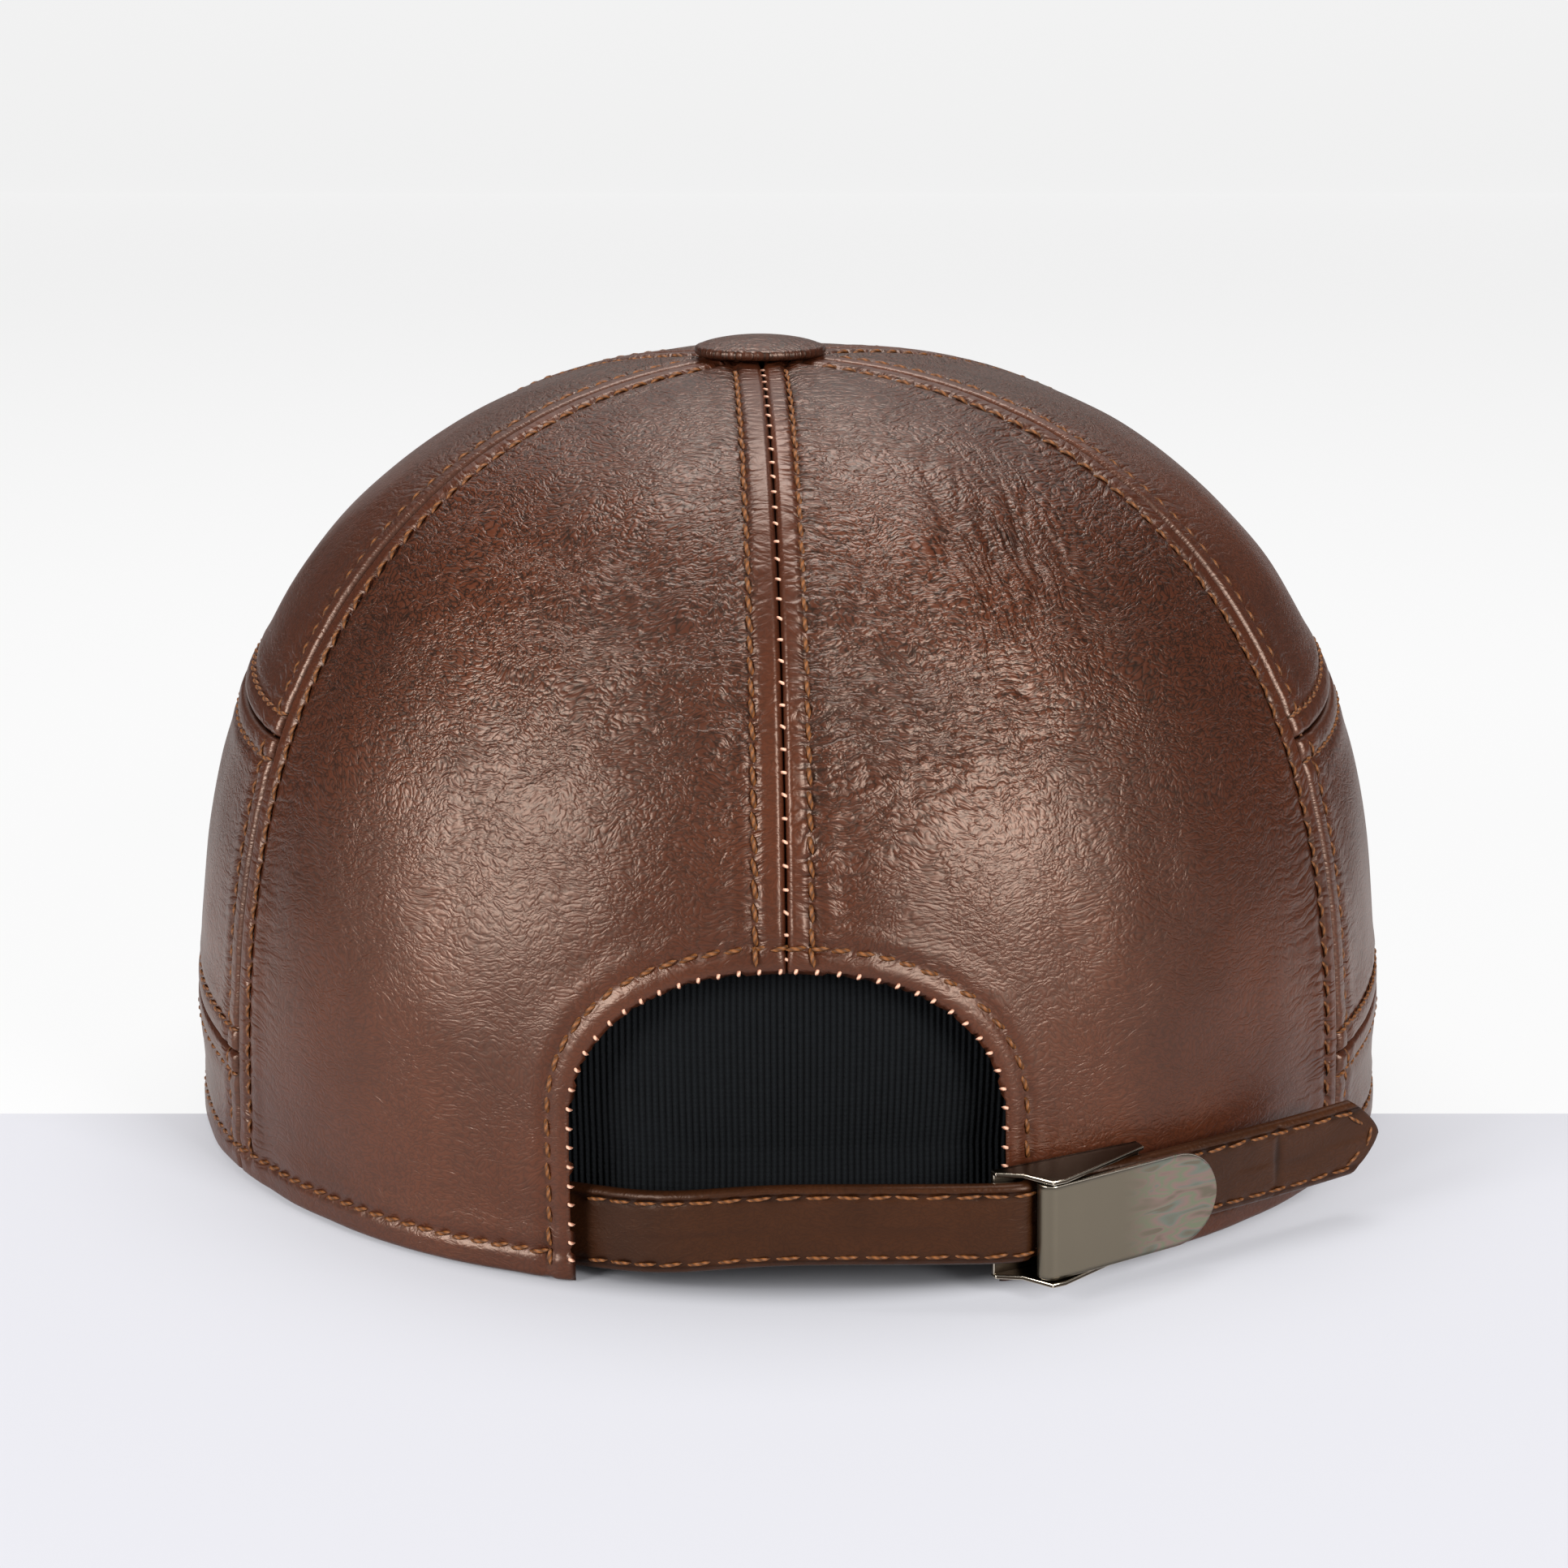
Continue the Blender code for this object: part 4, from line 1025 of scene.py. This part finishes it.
BUTTON_EDGE = 9.0
LOCKSTITCH = (STITCH_PITCH, STITCH_SHOWN, THREAD_RADIUS, 0.16)
rows = []
gores = back_gores | side_gores | front_gores
for index, gore in enumerate(gores.values()):
    low, high = gore_limits(gore, np.array([(gore["start"] + gore["end"]) / 2]))
    bottom = low[0] + (HEM_ROW if gore["low"] is None else 0.6)
    top = high[0] - (BUTTON_EDGE if gore["high"] is None else 0.6)
    lines = []
    for edge in (0, 1):
        line = seam_row(gore, edge, gore["rows"][edge], bottom, top)
        lines.append((line, 0.8, 1000 + 2 * index + edge))
    if gore["low"] is None:
        lines.append((level_row(gore, HEM_ROW, False), OPENING_ROW, 1100 + index))
    else:
        lines.append((level_row(gore, STITCH_ROW, False), 0.0, 1150 + index))
    if gore["high"] is not None:
        lines.append((level_row(gore, STITCH_ROW, True), 0.0, 1200 + index))
    for (path, normals), margin, seed in lines:
        if gore["cut"]:
            path, normals = stop_at_opening(path, normals, margin)
        rows.append(stitched_line(path, normals, *LOCKSTITCH, seed))


def opening_path(distance, half, count=400):
    """Points round one half of the opening at a distance outside it, on the panel's face."""
    gore = back_left if half < 0 else back_right
    arch_base = OPENING_HEIGHT - OPENING_ARCH_RISE
    turn = np.linspace(0, np.pi / 2, count)
    power = 2 / OPENING_ARCH_POWER
    x = (OPENING_HALF_WIDTH + distance) * np.cos(turn) ** power
    z = arch_base + (OPENING_ARCH_RISE + distance) * np.sin(turn) ** power
    side = np.linspace(HEM_ROW * 0.5, arch_base, 120)[:-1]
    x = half * np.concatenate([np.full(len(side), OPENING_HALF_WIDTH + distance), x])
    z = np.concatenate([side, z])
    azimuth = np.arcsin(np.clip(x / HALF_WIDTH, -1, 1))
    for _ in range(6):
        ring = ring_at_height(azimuth, z)
        azimuth = np.arcsin(np.clip((x - POLE_X * (1 - ring)) / (HALF_WIDTH * ring), -1, 1))
    along = along_ring(gore, ring_at_height(azimuth, z))
    return gore_surface(gore, azimuth, along)[:2]


for half in (-1, 1):
    path, normals = opening_path(OPENING_ROW, half)
    rows.append(stitched_line(path, normals, *LOCKSTITCH, 1300 + half))
add_stitches("crown_topstitching", tan_thread, rows)

# Seam thread: the pale inner seam shows as short bars across the open centre grooves, and its loops
# show as dots along the inner rim of the opening.
GROOVE_BAR = 1.9


def groove_bars(gore, azimuth, seed):
    """Bars across the groove at a seam, one to each stitch, from the opening or hem to the button."""
    bottom = gore_limits(gore, np.array([azimuth]))[0][0] + 1.5
    along = np.linspace(bottom, gore["distances"][-1] - BUTTON_EDGE, 700)
    ring = ring_along(gore, along)
    path = crown_shell(azimuth, ring)
    normals = crown_normal(azimuth, ring)
    if math.cos(azimuth) > 0:
        path, normals = stop_at_opening(path, normals, 0.4)
    line = stitched_line(path - normals * 0.55, normals, STITCH_PITCH, GROOVE_BAR, 0.24, 1.35, seed)
    centre, forward, out, length, radius, tilt, _ = line
    tilt = tilt + 0.25 * np.sin(np.arange(len(tilt)) * 2.4)
    return centre, forward, out, length, radius, tilt, 0.3


rim_rows = [
    groove_bars(back_right, 0.0, 1400),
    groove_bars(front_gores["front_panel_right"], math.pi, 1401),
]
for index, hand in enumerate(("left", "right")):
    path, normals = level_row(side_gores["side_panel_" + hand], 0.0, False)
    path = path - normals * 0.15
    rim_rows.append(stitched_line(path, normals, 2.2, 1.5, 0.24, 0.9, 1410 + index, 0.2, 0.05))
for half in (-1, 1):
    path, normals = opening_path(0.5, half)
    line = stitched_line(path, normals, 2.7, 1.1, 0.27, 1.4, 1402 + half, 0.2, 0.05)
    rim_rows.append(line)
add_stitches("seam_thread", pale_thread, rim_rows)

# Knit panel: a black two-ply rib knit sewn behind the opening, so it stretches a little round the
# head. Its wales fan slightly and it sinks to the right of the middle.
KNIT_THICKNESS = 1.6
KNIT_OVERLAP = 13.0
KNIT_BOTTOM = 2.0
KNIT_DENT = 3.0
KNIT_ROWS = 70
WALE_COLUMNS = 6
WALE_PITCH = 0.92
COURSE_PITCH = 0.75
RIB_DEPTH = 0.34
STRAP_WIDTH = 11.3
STRAP_THICKNESS = 2.2
STRAP_HEIGHT = 10.7


def rib_knit():
    """Fine acrylic rib knit: matt, near black with a cool cast, each wale built of small loops, with
    painted shade in the hollows between its ribs.
    """
    material, tree = start_material("black_rib_knit")
    lie = add_node(tree, "TexCoord").outputs["UV"]
    up = add_node(tree, "SeparateXYZ", {0: lie}).outputs["Y"]
    course = add_node(tree, "Math", {0: up, 1: 2 * math.pi / (COURSE_PITCH * MM)}, operation="MULTIPLY")
    loops = add_node(tree, "Math", {0: course}, operation="SINE")
    fibres = {"Vector": lie, "Scale": 2400.0, "Detail": 3.0}
    fuzz = add_node(tree, "TexNoise", fibres, noise_dimensions="2D")
    height = add_node(tree, "Math", {0: loops, 1: 0.12, 2: fuzz}, operation="MULTIPLY_ADD")
    crevice = add_node(tree, "Attribute", attribute_name="crevice").outputs["Fac"]
    tones = {0: crevice, 6: linear("#0f1113"), 7: linear("#020203")}
    finish = {
        "Base Color": add_node(tree, "Mix", tones, data_type="RGBA"),
        "Roughness": 0.95,
        "Normal": add_node(tree, "Bump", {"Height": height, "Distance": 0.00012, "Strength": 1.0}),
        "Specular IOR Level": 0.12,
    }
    return end_material(material, finish)


def knit_inset(azimuth, height):
    """How far inside the leather's face the knit lies: close above, behind the strap's sewn end
    below, with a soft dent."""
    close = LEATHER + 0.3
    behind_strap = close + STRAP_THICKNESS + 0.6
    clear_height = STRAP_HEIGHT + STRAP_WIDTH / 2 + 2
    rise = np.clip((height - clear_height) / (OPENING_HEIGHT + KNIT_OVERLAP - clear_height), 0, 1)
    half_angle = OPENING_HALF_WIDTH / BACK_DEPTH
    across = (azimuth - 0.3 * half_angle) / half_angle
    low = np.maximum(0, 1 - np.abs(height - clear_height) / OPENING_HEIGHT)
    dent = KNIT_DENT * np.maximum(0, 1 - across**2) * low**2
    return behind_strap + (close - behind_strap) * rise + dent


half_angle = (OPENING_HALF_WIDTH + KNIT_OVERLAP) / BACK_DEPTH
wales = int(2 * half_angle * BACK_DEPTH / WALE_PITCH)
columns = np.linspace(-1, 1, wales * WALE_COLUMNS + 1)
share, rise = np.meshgrid(columns, np.linspace(0, 1, KNIT_ROWS))
azimuth = half_angle * share
height = KNIT_BOTTOM + (OPENING_HEIGHT + KNIT_OVERLAP - KNIT_BOTTOM) * rise
ring = ring_at_height(azimuth, height)
wale = share * wales / 2 + 0.6 * np.sin(share * 2.2) * (1 - rise) ** 2
rib = RIB_DEPTH * np.abs(np.cos(np.pi * wale)) + 0.03 * smooth_noise(wale, height / 0.8, 31)
outward = rib - RIB_DEPTH - knit_inset(azimuth, height) - SEAM_DIP
points = crown_shell(azimuth, ring) + crown_normal(azimuth, ring) * outward[..., None]
# The shade mark is painted shade, darkest in the hollows between the ribs.
knit = new_piece(
    "knit_panel_ribs",
    points,
    [grid_faces(*share.shape)],
    [rib_knit()],
    together(azimuth * BACK_DEPTH, height),
    {"crevice": 1 - rib / RIB_DEPTH},
)
thicken(knit, KNIT_THICKNESS - RIB_DEPTH - 0.1)
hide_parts("knit_panel")
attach(knit, "cap")


# Strap: hide folded over a stiff core, with a row of long stitches along each edge. Its left end is
# sewn inside the opening and its pointed tail runs free past the buckle.
STRAP_ANCHOR_HEIGHT = 7.0
STRAP_ANCHOR_LENGTH = 15.0
STRAP_FLARE = 0.14
STRAP_CREASE = 19.0
STRAP_TAIL_AZIMUTH = math.radians(54.5)
STRAP_TAIL_LIFT = 10.5
STRAP_TAIL_HEIGHT = 12.0
STRAP_TIP = 5.0
LATE_TURN = 0.68
LATE_LIFT = 0.22
LATE_HEIGHT = 0.55
STRAP_BULGE = 0.8
STRAP_ROW = 1.4
STRAP_PITCH = 4.0
STRAP_STITCH = (STRAP_PITCH, 3.6, 0.26, 0.03)
STRAP_ROW_START = 17.0
STRAP_ROW_POINTS = 500
STRAP_STATIONS = 380
PART_GAP = 0.3
BUCKLE_AZIMUTH = math.radians(26)
BUCKLE_HEIGHT = 10.8
BUCKLE_TILT = math.radians(1.3)
TAB_THICKNESS = 1.2
PLATE_THICKNESS = 0.8
RAIL_THICKNESS = 0.6
LEVER_WIDTH = 13.6
LEVER_LENGTH = 27.0
LEVER_THICKNESS = 0.8
BARREL_RADIUS = 1.8
PIN_RADIUS = 0.7
FRAME_BEFORE_PIN = 6.2
FRAME_AFTER_PIN = 16.5
PIN_ALONG = -10.0
STRAP_RISE_IN_BUCKLE = 0.8
RAIL_HALF_SPAN = LEVER_WIDTH / 2 + PART_GAP
PLATE_OUT = PART_GAP + TAB_THICKNESS + PART_GAP
STRAP_OUT = PLATE_OUT + PLATE_THICKNESS + PART_GAP + STRAP_THICKNESS / 2
PIN_OUT = STRAP_OUT + STRAP_THICKNESS / 2 + PART_GAP + BARREL_RADIUS


def wall_point(azimuth, height, outward):
    """A point beside the crown's wall at this height. The wall dips a little at each seam."""
    ring = ring_at_height(azimuth, height)
    dip = SEAM_DIP * (1 - np.abs(np.sin(np.pi * azimuth / GORE_ANGLE))) ** 2
    point = crown_shell(azimuth, ring) + crown_normal(azimuth, ring) * (outward - dip)
    return np.array([point[0], point[1], height])


def buckle_axes():
    """Where the buckle sits on the crown, and its axes: along the strap, outward and down, rolled
    by the buckle's tilt about the outward axis."""
    seat = wall_point(BUCKLE_AZIMUTH, BUCKLE_HEIGHT, 0)
    out = crown_normal(BUCKLE_AZIMUTH, ring_at_height(BUCKLE_AZIMUTH, BUCKLE_HEIGHT))
    out[2] = 0
    out = unit(out)
    down = np.array([0, 0, -1.0])
    along = np.cross(out, down)
    cosine, sine = math.cos(BUCKLE_TILT), math.sin(BUCKLE_TILT)
    return seat, np.stack([along * cosine - down * sine, out, along * sine + down * cosine])


BUCKLE_SEAT, BUCKLE_AXES = buckle_axes()


def at_buckle(points):
    """Carries points from the buckle's own frame onto the crown."""
    return BUCKLE_SEAT + np.asarray(points, float) @ BUCKLE_AXES


def smooth_route(points, steps=40):
    """A dense Catmull-Rom curve through the points."""
    ends = np.vstack([2 * points[0] - points[1], points, 2 * points[-1] - points[-2]])
    t = np.linspace(0, 1, steps, endpoint=False)[None, :, None]
    a, b, c, d = (ends[i : len(ends) - 3 + i, None] for i in range(4))
    curve = 2 * b + (c - a) * t + (2 * a - 5 * b + 4 * c - d) * t**2 + (3 * b - a - 3 * c + d) * t**3
    return np.vstack([curve.reshape(-1, 3) / 2, points[-1]])


def strap_route():
    """The strap's middle line: inside the left edge, out across the opening, straight through the
    buckle and under its lever, then away from the crown."""
    inside = -(LEATHER + SEAM_DIP + PART_GAP + STRAP_THICKNESS / 2)
    edge = OPENING_HALF_WIDTH / BACK_DEPTH
    anchor = STRAP_ANCHOR_LENGTH / BACK_DEPTH
    late = BUCKLE_AZIMUTH + LATE_TURN * (STRAP_TAIL_AZIMUTH - BUCKLE_AZIMUTH)
    late_out = STRAP_OUT + LATE_LIFT * (STRAP_TAIL_LIFT - STRAP_OUT)
    late_height = BUCKLE_HEIGHT + LATE_HEIGHT * (STRAP_TAIL_HEIGHT - BUCKLE_HEIGHT)
    rising = (STRAP_ANCHOR_HEIGHT + STRAP_HEIGHT) / 2
    return np.array(
        [
            wall_point(-edge - anchor, STRAP_ANCHOR_HEIGHT, inside),
            wall_point(-edge - anchor * 0.5, STRAP_ANCHOR_HEIGHT, inside),
            wall_point(-edge, STRAP_ANCHOR_HEIGHT, inside),
            wall_point(-edge * 0.55, rising, inside * 0.15 + SEAM_DIP),
            wall_point(0, STRAP_HEIGHT, SEAM_DIP + STRAP_BULGE),
            at_buckle((PIN_ALONG - FRAME_BEFORE_PIN, STRAP_OUT, -STRAP_RISE_IN_BUCKLE)),
            at_buckle((PIN_ALONG, STRAP_OUT, -STRAP_RISE_IN_BUCKLE)),
            at_buckle((PIN_ALONG + 0.6 * LEVER_LENGTH, STRAP_OUT, -STRAP_RISE_IN_BUCKLE)),
            wall_point(late, late_height, late_out),
            wall_point(STRAP_TAIL_AZIMUTH, STRAP_TAIL_HEIGHT, STRAP_TAIL_LIFT),
        ]
    )


def flat_loop(columns, arc_steps):
    """A unit rounded rectangle as a loop: column shares, side, and the directions of its corners'
    quarter circles."""
    face = np.linspace(-1, 1, columns)
    turn = np.linspace(0, np.pi / 2, arc_steps)
    ones = np.ones(arc_steps)
    share = np.concatenate([face, ones, ones, -face, -ones, -ones])
    level = np.concatenate([np.ones(columns), ones, -ones, -np.ones(columns), -ones, ones])
    zero, one = np.zeros(columns), np.ones(columns)
    sine, cosine = np.sin(turn), np.cos(turn)
    reach = np.concatenate([zero, sine, cosine, zero, -sine, -cosine])
    raised = np.concatenate([one, cosine, -sine, -one, -cosine, sine])
    return share, level, reach, raised


ROUTE = smooth_route(strap_route())
ROUTE_STEPS = travelled(ROUTE)
STRAP_LENGTH = ROUTE_STEPS[-1]


def strap_frame(distance):
    """Middle point and outward direction at a distance along the strap."""
    low, high = (
        at_distance(ROUTE, ROUTE_STEPS, np.clip(distance + step, 0, STRAP_LENGTH)) for step in (-1.5, 1.5)
    )
    ahead = high - low
    out = np.stack([ahead[..., 1], -ahead[..., 0], np.zeros_like(ahead[..., 0])], axis=-1)
    return at_distance(ROUTE, ROUTE_STEPS, distance), unit(out)


def strap_flare(distance):
    """Width of the strap against its usual width: it is wider towards its sewn end."""
    return 1 + STRAP_FLARE * np.exp(-distance / (1.5 * STRAP_ANCHOR_LENGTH))


def strap_relief(distance, across):
    """Padding between the stitch rows, pinched at each row and more at each hole."""
    inset = STRAP_WIDTH / 2 - np.abs(across)
    holes = 0.6 + 0.4 * np.cos(2 * np.pi * distance / STRAP_PITCH)
    pinch = -0.28 * holes * hump(inset - STRAP_ROW, 0.42)
    soft = 0.17 * smooth_noise(distance / 9, across / 5, 801)
    bend = 0.25 * hump(distance - STRAP_LENGTH + STRAP_CREASE, 0.6)
    return pinch + soft * smooth_step(inset / 2) - bend


share, level, reach, raised = flat_loop(25, 5)
corner = 0.95
across = share * (STRAP_WIDTH / 2 - corner) + reach * corner
tip = STRAP_TIP * np.abs(across / (STRAP_WIDTH / 2)) ** 1.5
distance = np.linspace(0, 1, STRAP_STATIONS)[:, None] * (STRAP_LENGTH - tip)
middle, out = strap_frame(distance)
offset = level * (STRAP_THICKNESS / 2 - corner) + raised * corner
relief = strap_relief(distance, across) * np.sign(level) * (np.abs(reach) < 0.5)
points = middle + out * (offset + relief)[..., None]
points[..., 2] += across * strap_flare(distance)
# Its shade mark is painted shade in the pinches at the stitch rows.
strap = new_piece(
    "strap_leather",
    points,
    closed_tube(*relief.shape),
    [cowhide("smooth_strap_hide", grain=0.35, shine=0.27, gloss=0.38, tone="#2a1407", worn="#381d0d")],
    np.stack(np.broadcast_arrays(distance, across), axis=-1),
    {"crevice": smooth_step(-relief * np.sign(level) / 0.3) * 0.8},
)
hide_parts("strap")
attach(strap, "cap")

row_half = STRAP_WIDTH / 2 - STRAP_ROW
straight = np.linspace(STRAP_ROW_START, STRAP_LENGTH - STRAP_TIP - 1.0, STRAP_ROW_POINTS)
turn = np.linspace(-1, 1, 60)
round_tip = STRAP_LENGTH - 1.7 - STRAP_TIP * np.abs(turn) ** 1.5
row_distance = np.concatenate([straight, round_tip, straight[::-1]])
edge = np.ones(STRAP_ROW_POINTS)
row_across = row_half * np.concatenate([-edge, turn, edge])
strap_rows = []
for face in (1, -1):
    path, out = strap_frame(row_distance)
    path = path + out * (face * STRAP_THICKNESS / 2)
    path[:, 2] += row_across * strap_flare(row_distance)
    strap_rows.append(stitched_line(path, out * face, *STRAP_STITCH, 850 + face, 0.10, 0.02))
add_stitches("strap_stitching", tan_thread, strap_rows)

# Buckle tab: a short plain strip of hide behind the buckle that holds it to the right back panel.
share, rise = np.meshgrid(np.linspace(0, 1, 30), np.linspace(0, 1, 12))
start = math.asin((OPENING_HALF_WIDTH + PART_GAP) / HALF_WIDTH)
azimuth = start + (BUCKLE_AZIMUTH - start) * share
height = BUCKLE_HEIGHT + (rise - 0.5) * STRAP_WIDTH
ring = ring_at_height(azimuth, height)
points = crown_shell(azimuth, ring) + crown_normal(azimuth, ring) * (PART_GAP + TAB_THICKNESS)
points[..., 2] = height
tab = new_piece(
    "tab_leather",
    points,
    [grid_faces(*share.shape)],
    [crown_leather, flesh],
    together(azimuth * BACK_DEPTH, height),
)
thicken(tab, TAB_THICKNESS)
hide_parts("buckle_tab")
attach(tab, "cap")


# Buckle frame: a channel pressed from 0.6 mm steel sheet, with a cross pin riveted through its two rails.
# Gunmetal plated. Its rails take a darker copy of the plating, painted shade, and its broken edges a
# brighter, glossier copy, a painted highlight.
def plated_steel(name, tone, low_rough, high_rough):
    """Gunmetal plating over brushed steel. Where it is marked as oily, the thin plating shows pink and
    green streaks."""
    material, tree = start_material(name)
    place = add_node(tree, "TexCoord").outputs["Object"]
    streaks = {"Vector": place, "Rotation": (0, 0.7, 0), "Scale": (150, 150, 520)}
    streaks = add_node(tree, "Mapping", streaks)
    film = {"Vector": streaks, "Scale": 1.0, "Detail": 1.0, "Distortion": 0.6}
    tint = add_node(tree, "ValToRGB", {0: add_node(tree, "TexNoise", film)})
    ramp = tint.color_ramp.elements
    for end, position in ((ramp[0], 0.34), (ramp[1], 0.70)):
        end.position, end.color = position, linear(tone)
    for position, colour in ((0.43, "#b08c88"), (0.50, "#8ba07f"), (0.57, "#b58f8c"), (0.63, "#83988d")):
        ramp.new(position).color = linear(colour)
    oily = add_node(tree, "Attribute", attribute_name="oily").outputs["Fac"]
    smudges = add_node(tree, "TexNoise", {"Vector": place, "Scale": 240.0, "Detail": 3.0})
    satin = {"Value": smudges, "To Min": low_rough, "To Max": high_rough}
    brushed = add_node(tree, "TexNoise", {"Vector": place, "Scale": 6000.0, "Detail": 2.0})
    finish = {
        "Base Color": add_node(tree, "Mix", {0: oily, 6: linear(tone), 7: tint}, data_type="RGBA"),
        "Metallic": 1.0,
        "Roughness": add_node(tree, "MapRange", satin),
        "Normal": add_node(tree, "Bump", {"Height": brushed, "Distance": 0.000004, "Strength": 1.0}),
    }
    return end_material(material, finish)


# Three copies of one plating: the face, a darker one that paints shade on the rails, and a brighter,
# glossier one that paints highlights on the edges.
face_metal = plated_steel("satin_gunmetal_face", "#7b7262", 0.28, 0.40)
shaded_rail_metal = plated_steel("shade_darkened_gunmetal_rail", "#4a4137", 0.25, 0.38)
highlit_edge_metal = plated_steel("highlight_brightened_edge", "#cfc4b2", 0.16, 0.26)


def prism(outline, low, high):
    """Points and faces of an outline in the buckle's long and outward axes, between two levels."""
    outline = np.array(outline, float)
    count = len(outline)
    ends = [np.column_stack([outline, np.full(count, z)]) for z in (low, high)]
    order = np.arange(count)
    walls = np.stack([order, (order + 1) % count, (order + 1) % count + count, order + count], -1)
    return np.vstack(ends), [order[None, ::-1], order[None] + count, walls]


def join_parts(parts):
    """Puts several point and face sets into one."""
    points, groups, first = [], [], 0
    for part_points, part_groups in parts:
        groups += [group + first for group in part_groups]
        points.append(part_points)
        first += len(part_points)
    return np.vstack(points), groups


def round_edges(piece, width):
    """Breaks the sheared edges of pressed metal."""
    edges = piece.modifiers.new("broken_edges", "BEVEL")
    edges.width = width * MM
    edges.segments = 3
    edges.limit_method = "ANGLE"
    edges.angle_limit = math.radians(40)
    # The bevel takes the second material, a brighter copy of the plating that paints a highlight along the
    # edges.
    edges.material = 1


def round_pin(radius, turn):
    """Points at these turns on a circle about the pin."""
    return together(PIN_ALONG + radius * np.cos(turn), PIN_OUT + radius * np.sin(turn))


rail_top = PIN_OUT + BARREL_RADIUS + PART_GAP
strap_top = STRAP_OUT + STRAP_THICKNESS / 2
left, right = PIN_ALONG - FRAME_BEFORE_PIN, PIN_ALONG + FRAME_AFTER_PIN
RAIL_OUTLINE = [
    (left, PLATE_OUT),
    (right, PLATE_OUT),
    (right, PLATE_OUT + 0.65 * (strap_top - PLATE_OUT)),
    (PIN_ALONG + 0.6 * FRAME_AFTER_PIN, strap_top + 0.3 * (rail_top - strap_top)),
    (PIN_ALONG + 1.2, rail_top),
    (PIN_ALONG - 0.8, rail_top),
    (PIN_ALONG - 0.5 * FRAME_BEFORE_PIN, strap_top),
    (left, PLATE_OUT + 0.4 * (strap_top - PLATE_OUT)),
]
rail_out = RAIL_HALF_SPAN + RAIL_THICKNESS
pin = round_pin(PIN_RADIUS, np.linspace(0, 2 * np.pi, 40, endpoint=False))
pin_end = RAIL_HALF_SPAN + RAIL_THICKNESS / 2
plate = [(left, PLATE_OUT), (right, PLATE_OUT)]
plate += [(right, PLATE_OUT + PLATE_THICKNESS), (left, PLATE_OUT + PLATE_THICKNESS)]
points, groups = join_parts(
    [
        prism(plate, -rail_out, rail_out),
        prism(RAIL_OUTLINE, -rail_out, -RAIL_HALF_SPAN),
        prism(RAIL_OUTLINE, RAIL_HALF_SPAN, rail_out),
        prism(pin, -pin_end, pin_end),
    ]
)
buckle = new_piece("frame_metal", at_buckle(points), groups, [shaded_rail_metal, highlit_edge_metal])
round_edges(buckle, 0.14)
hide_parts("buckle_frame")
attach(buckle, "cap")

# Buckle lever: a flat plated plate rolled round the pin, with a round free end that lies on the
# strap. It swings out on the pin to free the strap.
free_end = strap_top + PART_GAP + LEVER_THICKNESS / 2
hinge_end = PIN_OUT + BARREL_RADIUS - LEVER_THICKNESS / 2
slope = math.asin((hinge_end - free_end) / LEVER_LENGTH)
curl_radius = BARREL_RADIUS - LEVER_THICKNESS / 2
curl = np.linspace(np.pi / 2 + 4.9, np.pi / 2 - slope, 40)
round_run = np.sin(np.linspace(0, np.pi / 2, 40)[1:])
flat_run = np.concatenate([np.linspace(0, 0.72, 30)[1:], 0.72 + 0.28 * round_run])
curl_path = round_pin(curl_radius, curl)
forward = np.array([math.cos(slope), -math.sin(slope)])
flat_path = curl_path[-1] + np.outer(flat_run * (LEVER_LENGTH - curl_path[-1][0] + PIN_ALONG), forward)
path = np.vstack([curl_path, flat_path])
flat_normal = np.tile([math.sin(slope), math.cos(slope)], (len(flat_run), 1))
normal = np.vstack([together(np.cos(curl), np.sin(curl)), flat_normal])
radius = LEVER_WIDTH / 2
to_end = np.concatenate([np.full(40, LEVER_LENGTH), LEVER_LENGTH * (1 - flat_run)])
inside_round = np.clip(radius - to_end, 0, radius)
half_width = np.sqrt(np.maximum(radius**2 - inside_round**2, 0.04))
share, level, reach, raised = flat_loop(25, 4)
corner = 0.16
across = share * (half_width[:, None] - corner) + reach * corner
thick = level * (LEVER_THICKNESS / 2 - corner) + raised * corner
plane = path[:, None] + normal[:, None] * thick[None, :, None]
points = np.concatenate([plane, across[..., None]], axis=-1)
loop = points.shape[1]
lever = new_piece(
    "lever_metal",
    at_buckle(points),
    [faces[:, ::-1] for faces in closed_tube(len(path), loop)],
    [face_metal, highlit_edge_metal],
    marks={"oily": np.repeat(smooth_step((0.62 - to_end / LEVER_LENGTH) / 0.3) * 0.45, loop)},
)
# Painted highlight: the faces round the lever's rim take the brighter copy of the plating.
bright = np.zeros(len(lever.data.polygons), np.int32)
bright[: (len(path) - 1) * loop] = np.tile(np.abs(reach) > 0.2, len(path) - 1)
lever.data.polygons.foreach_set("material_index", bright)
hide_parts("buckle_lever")
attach(lever, "lever")
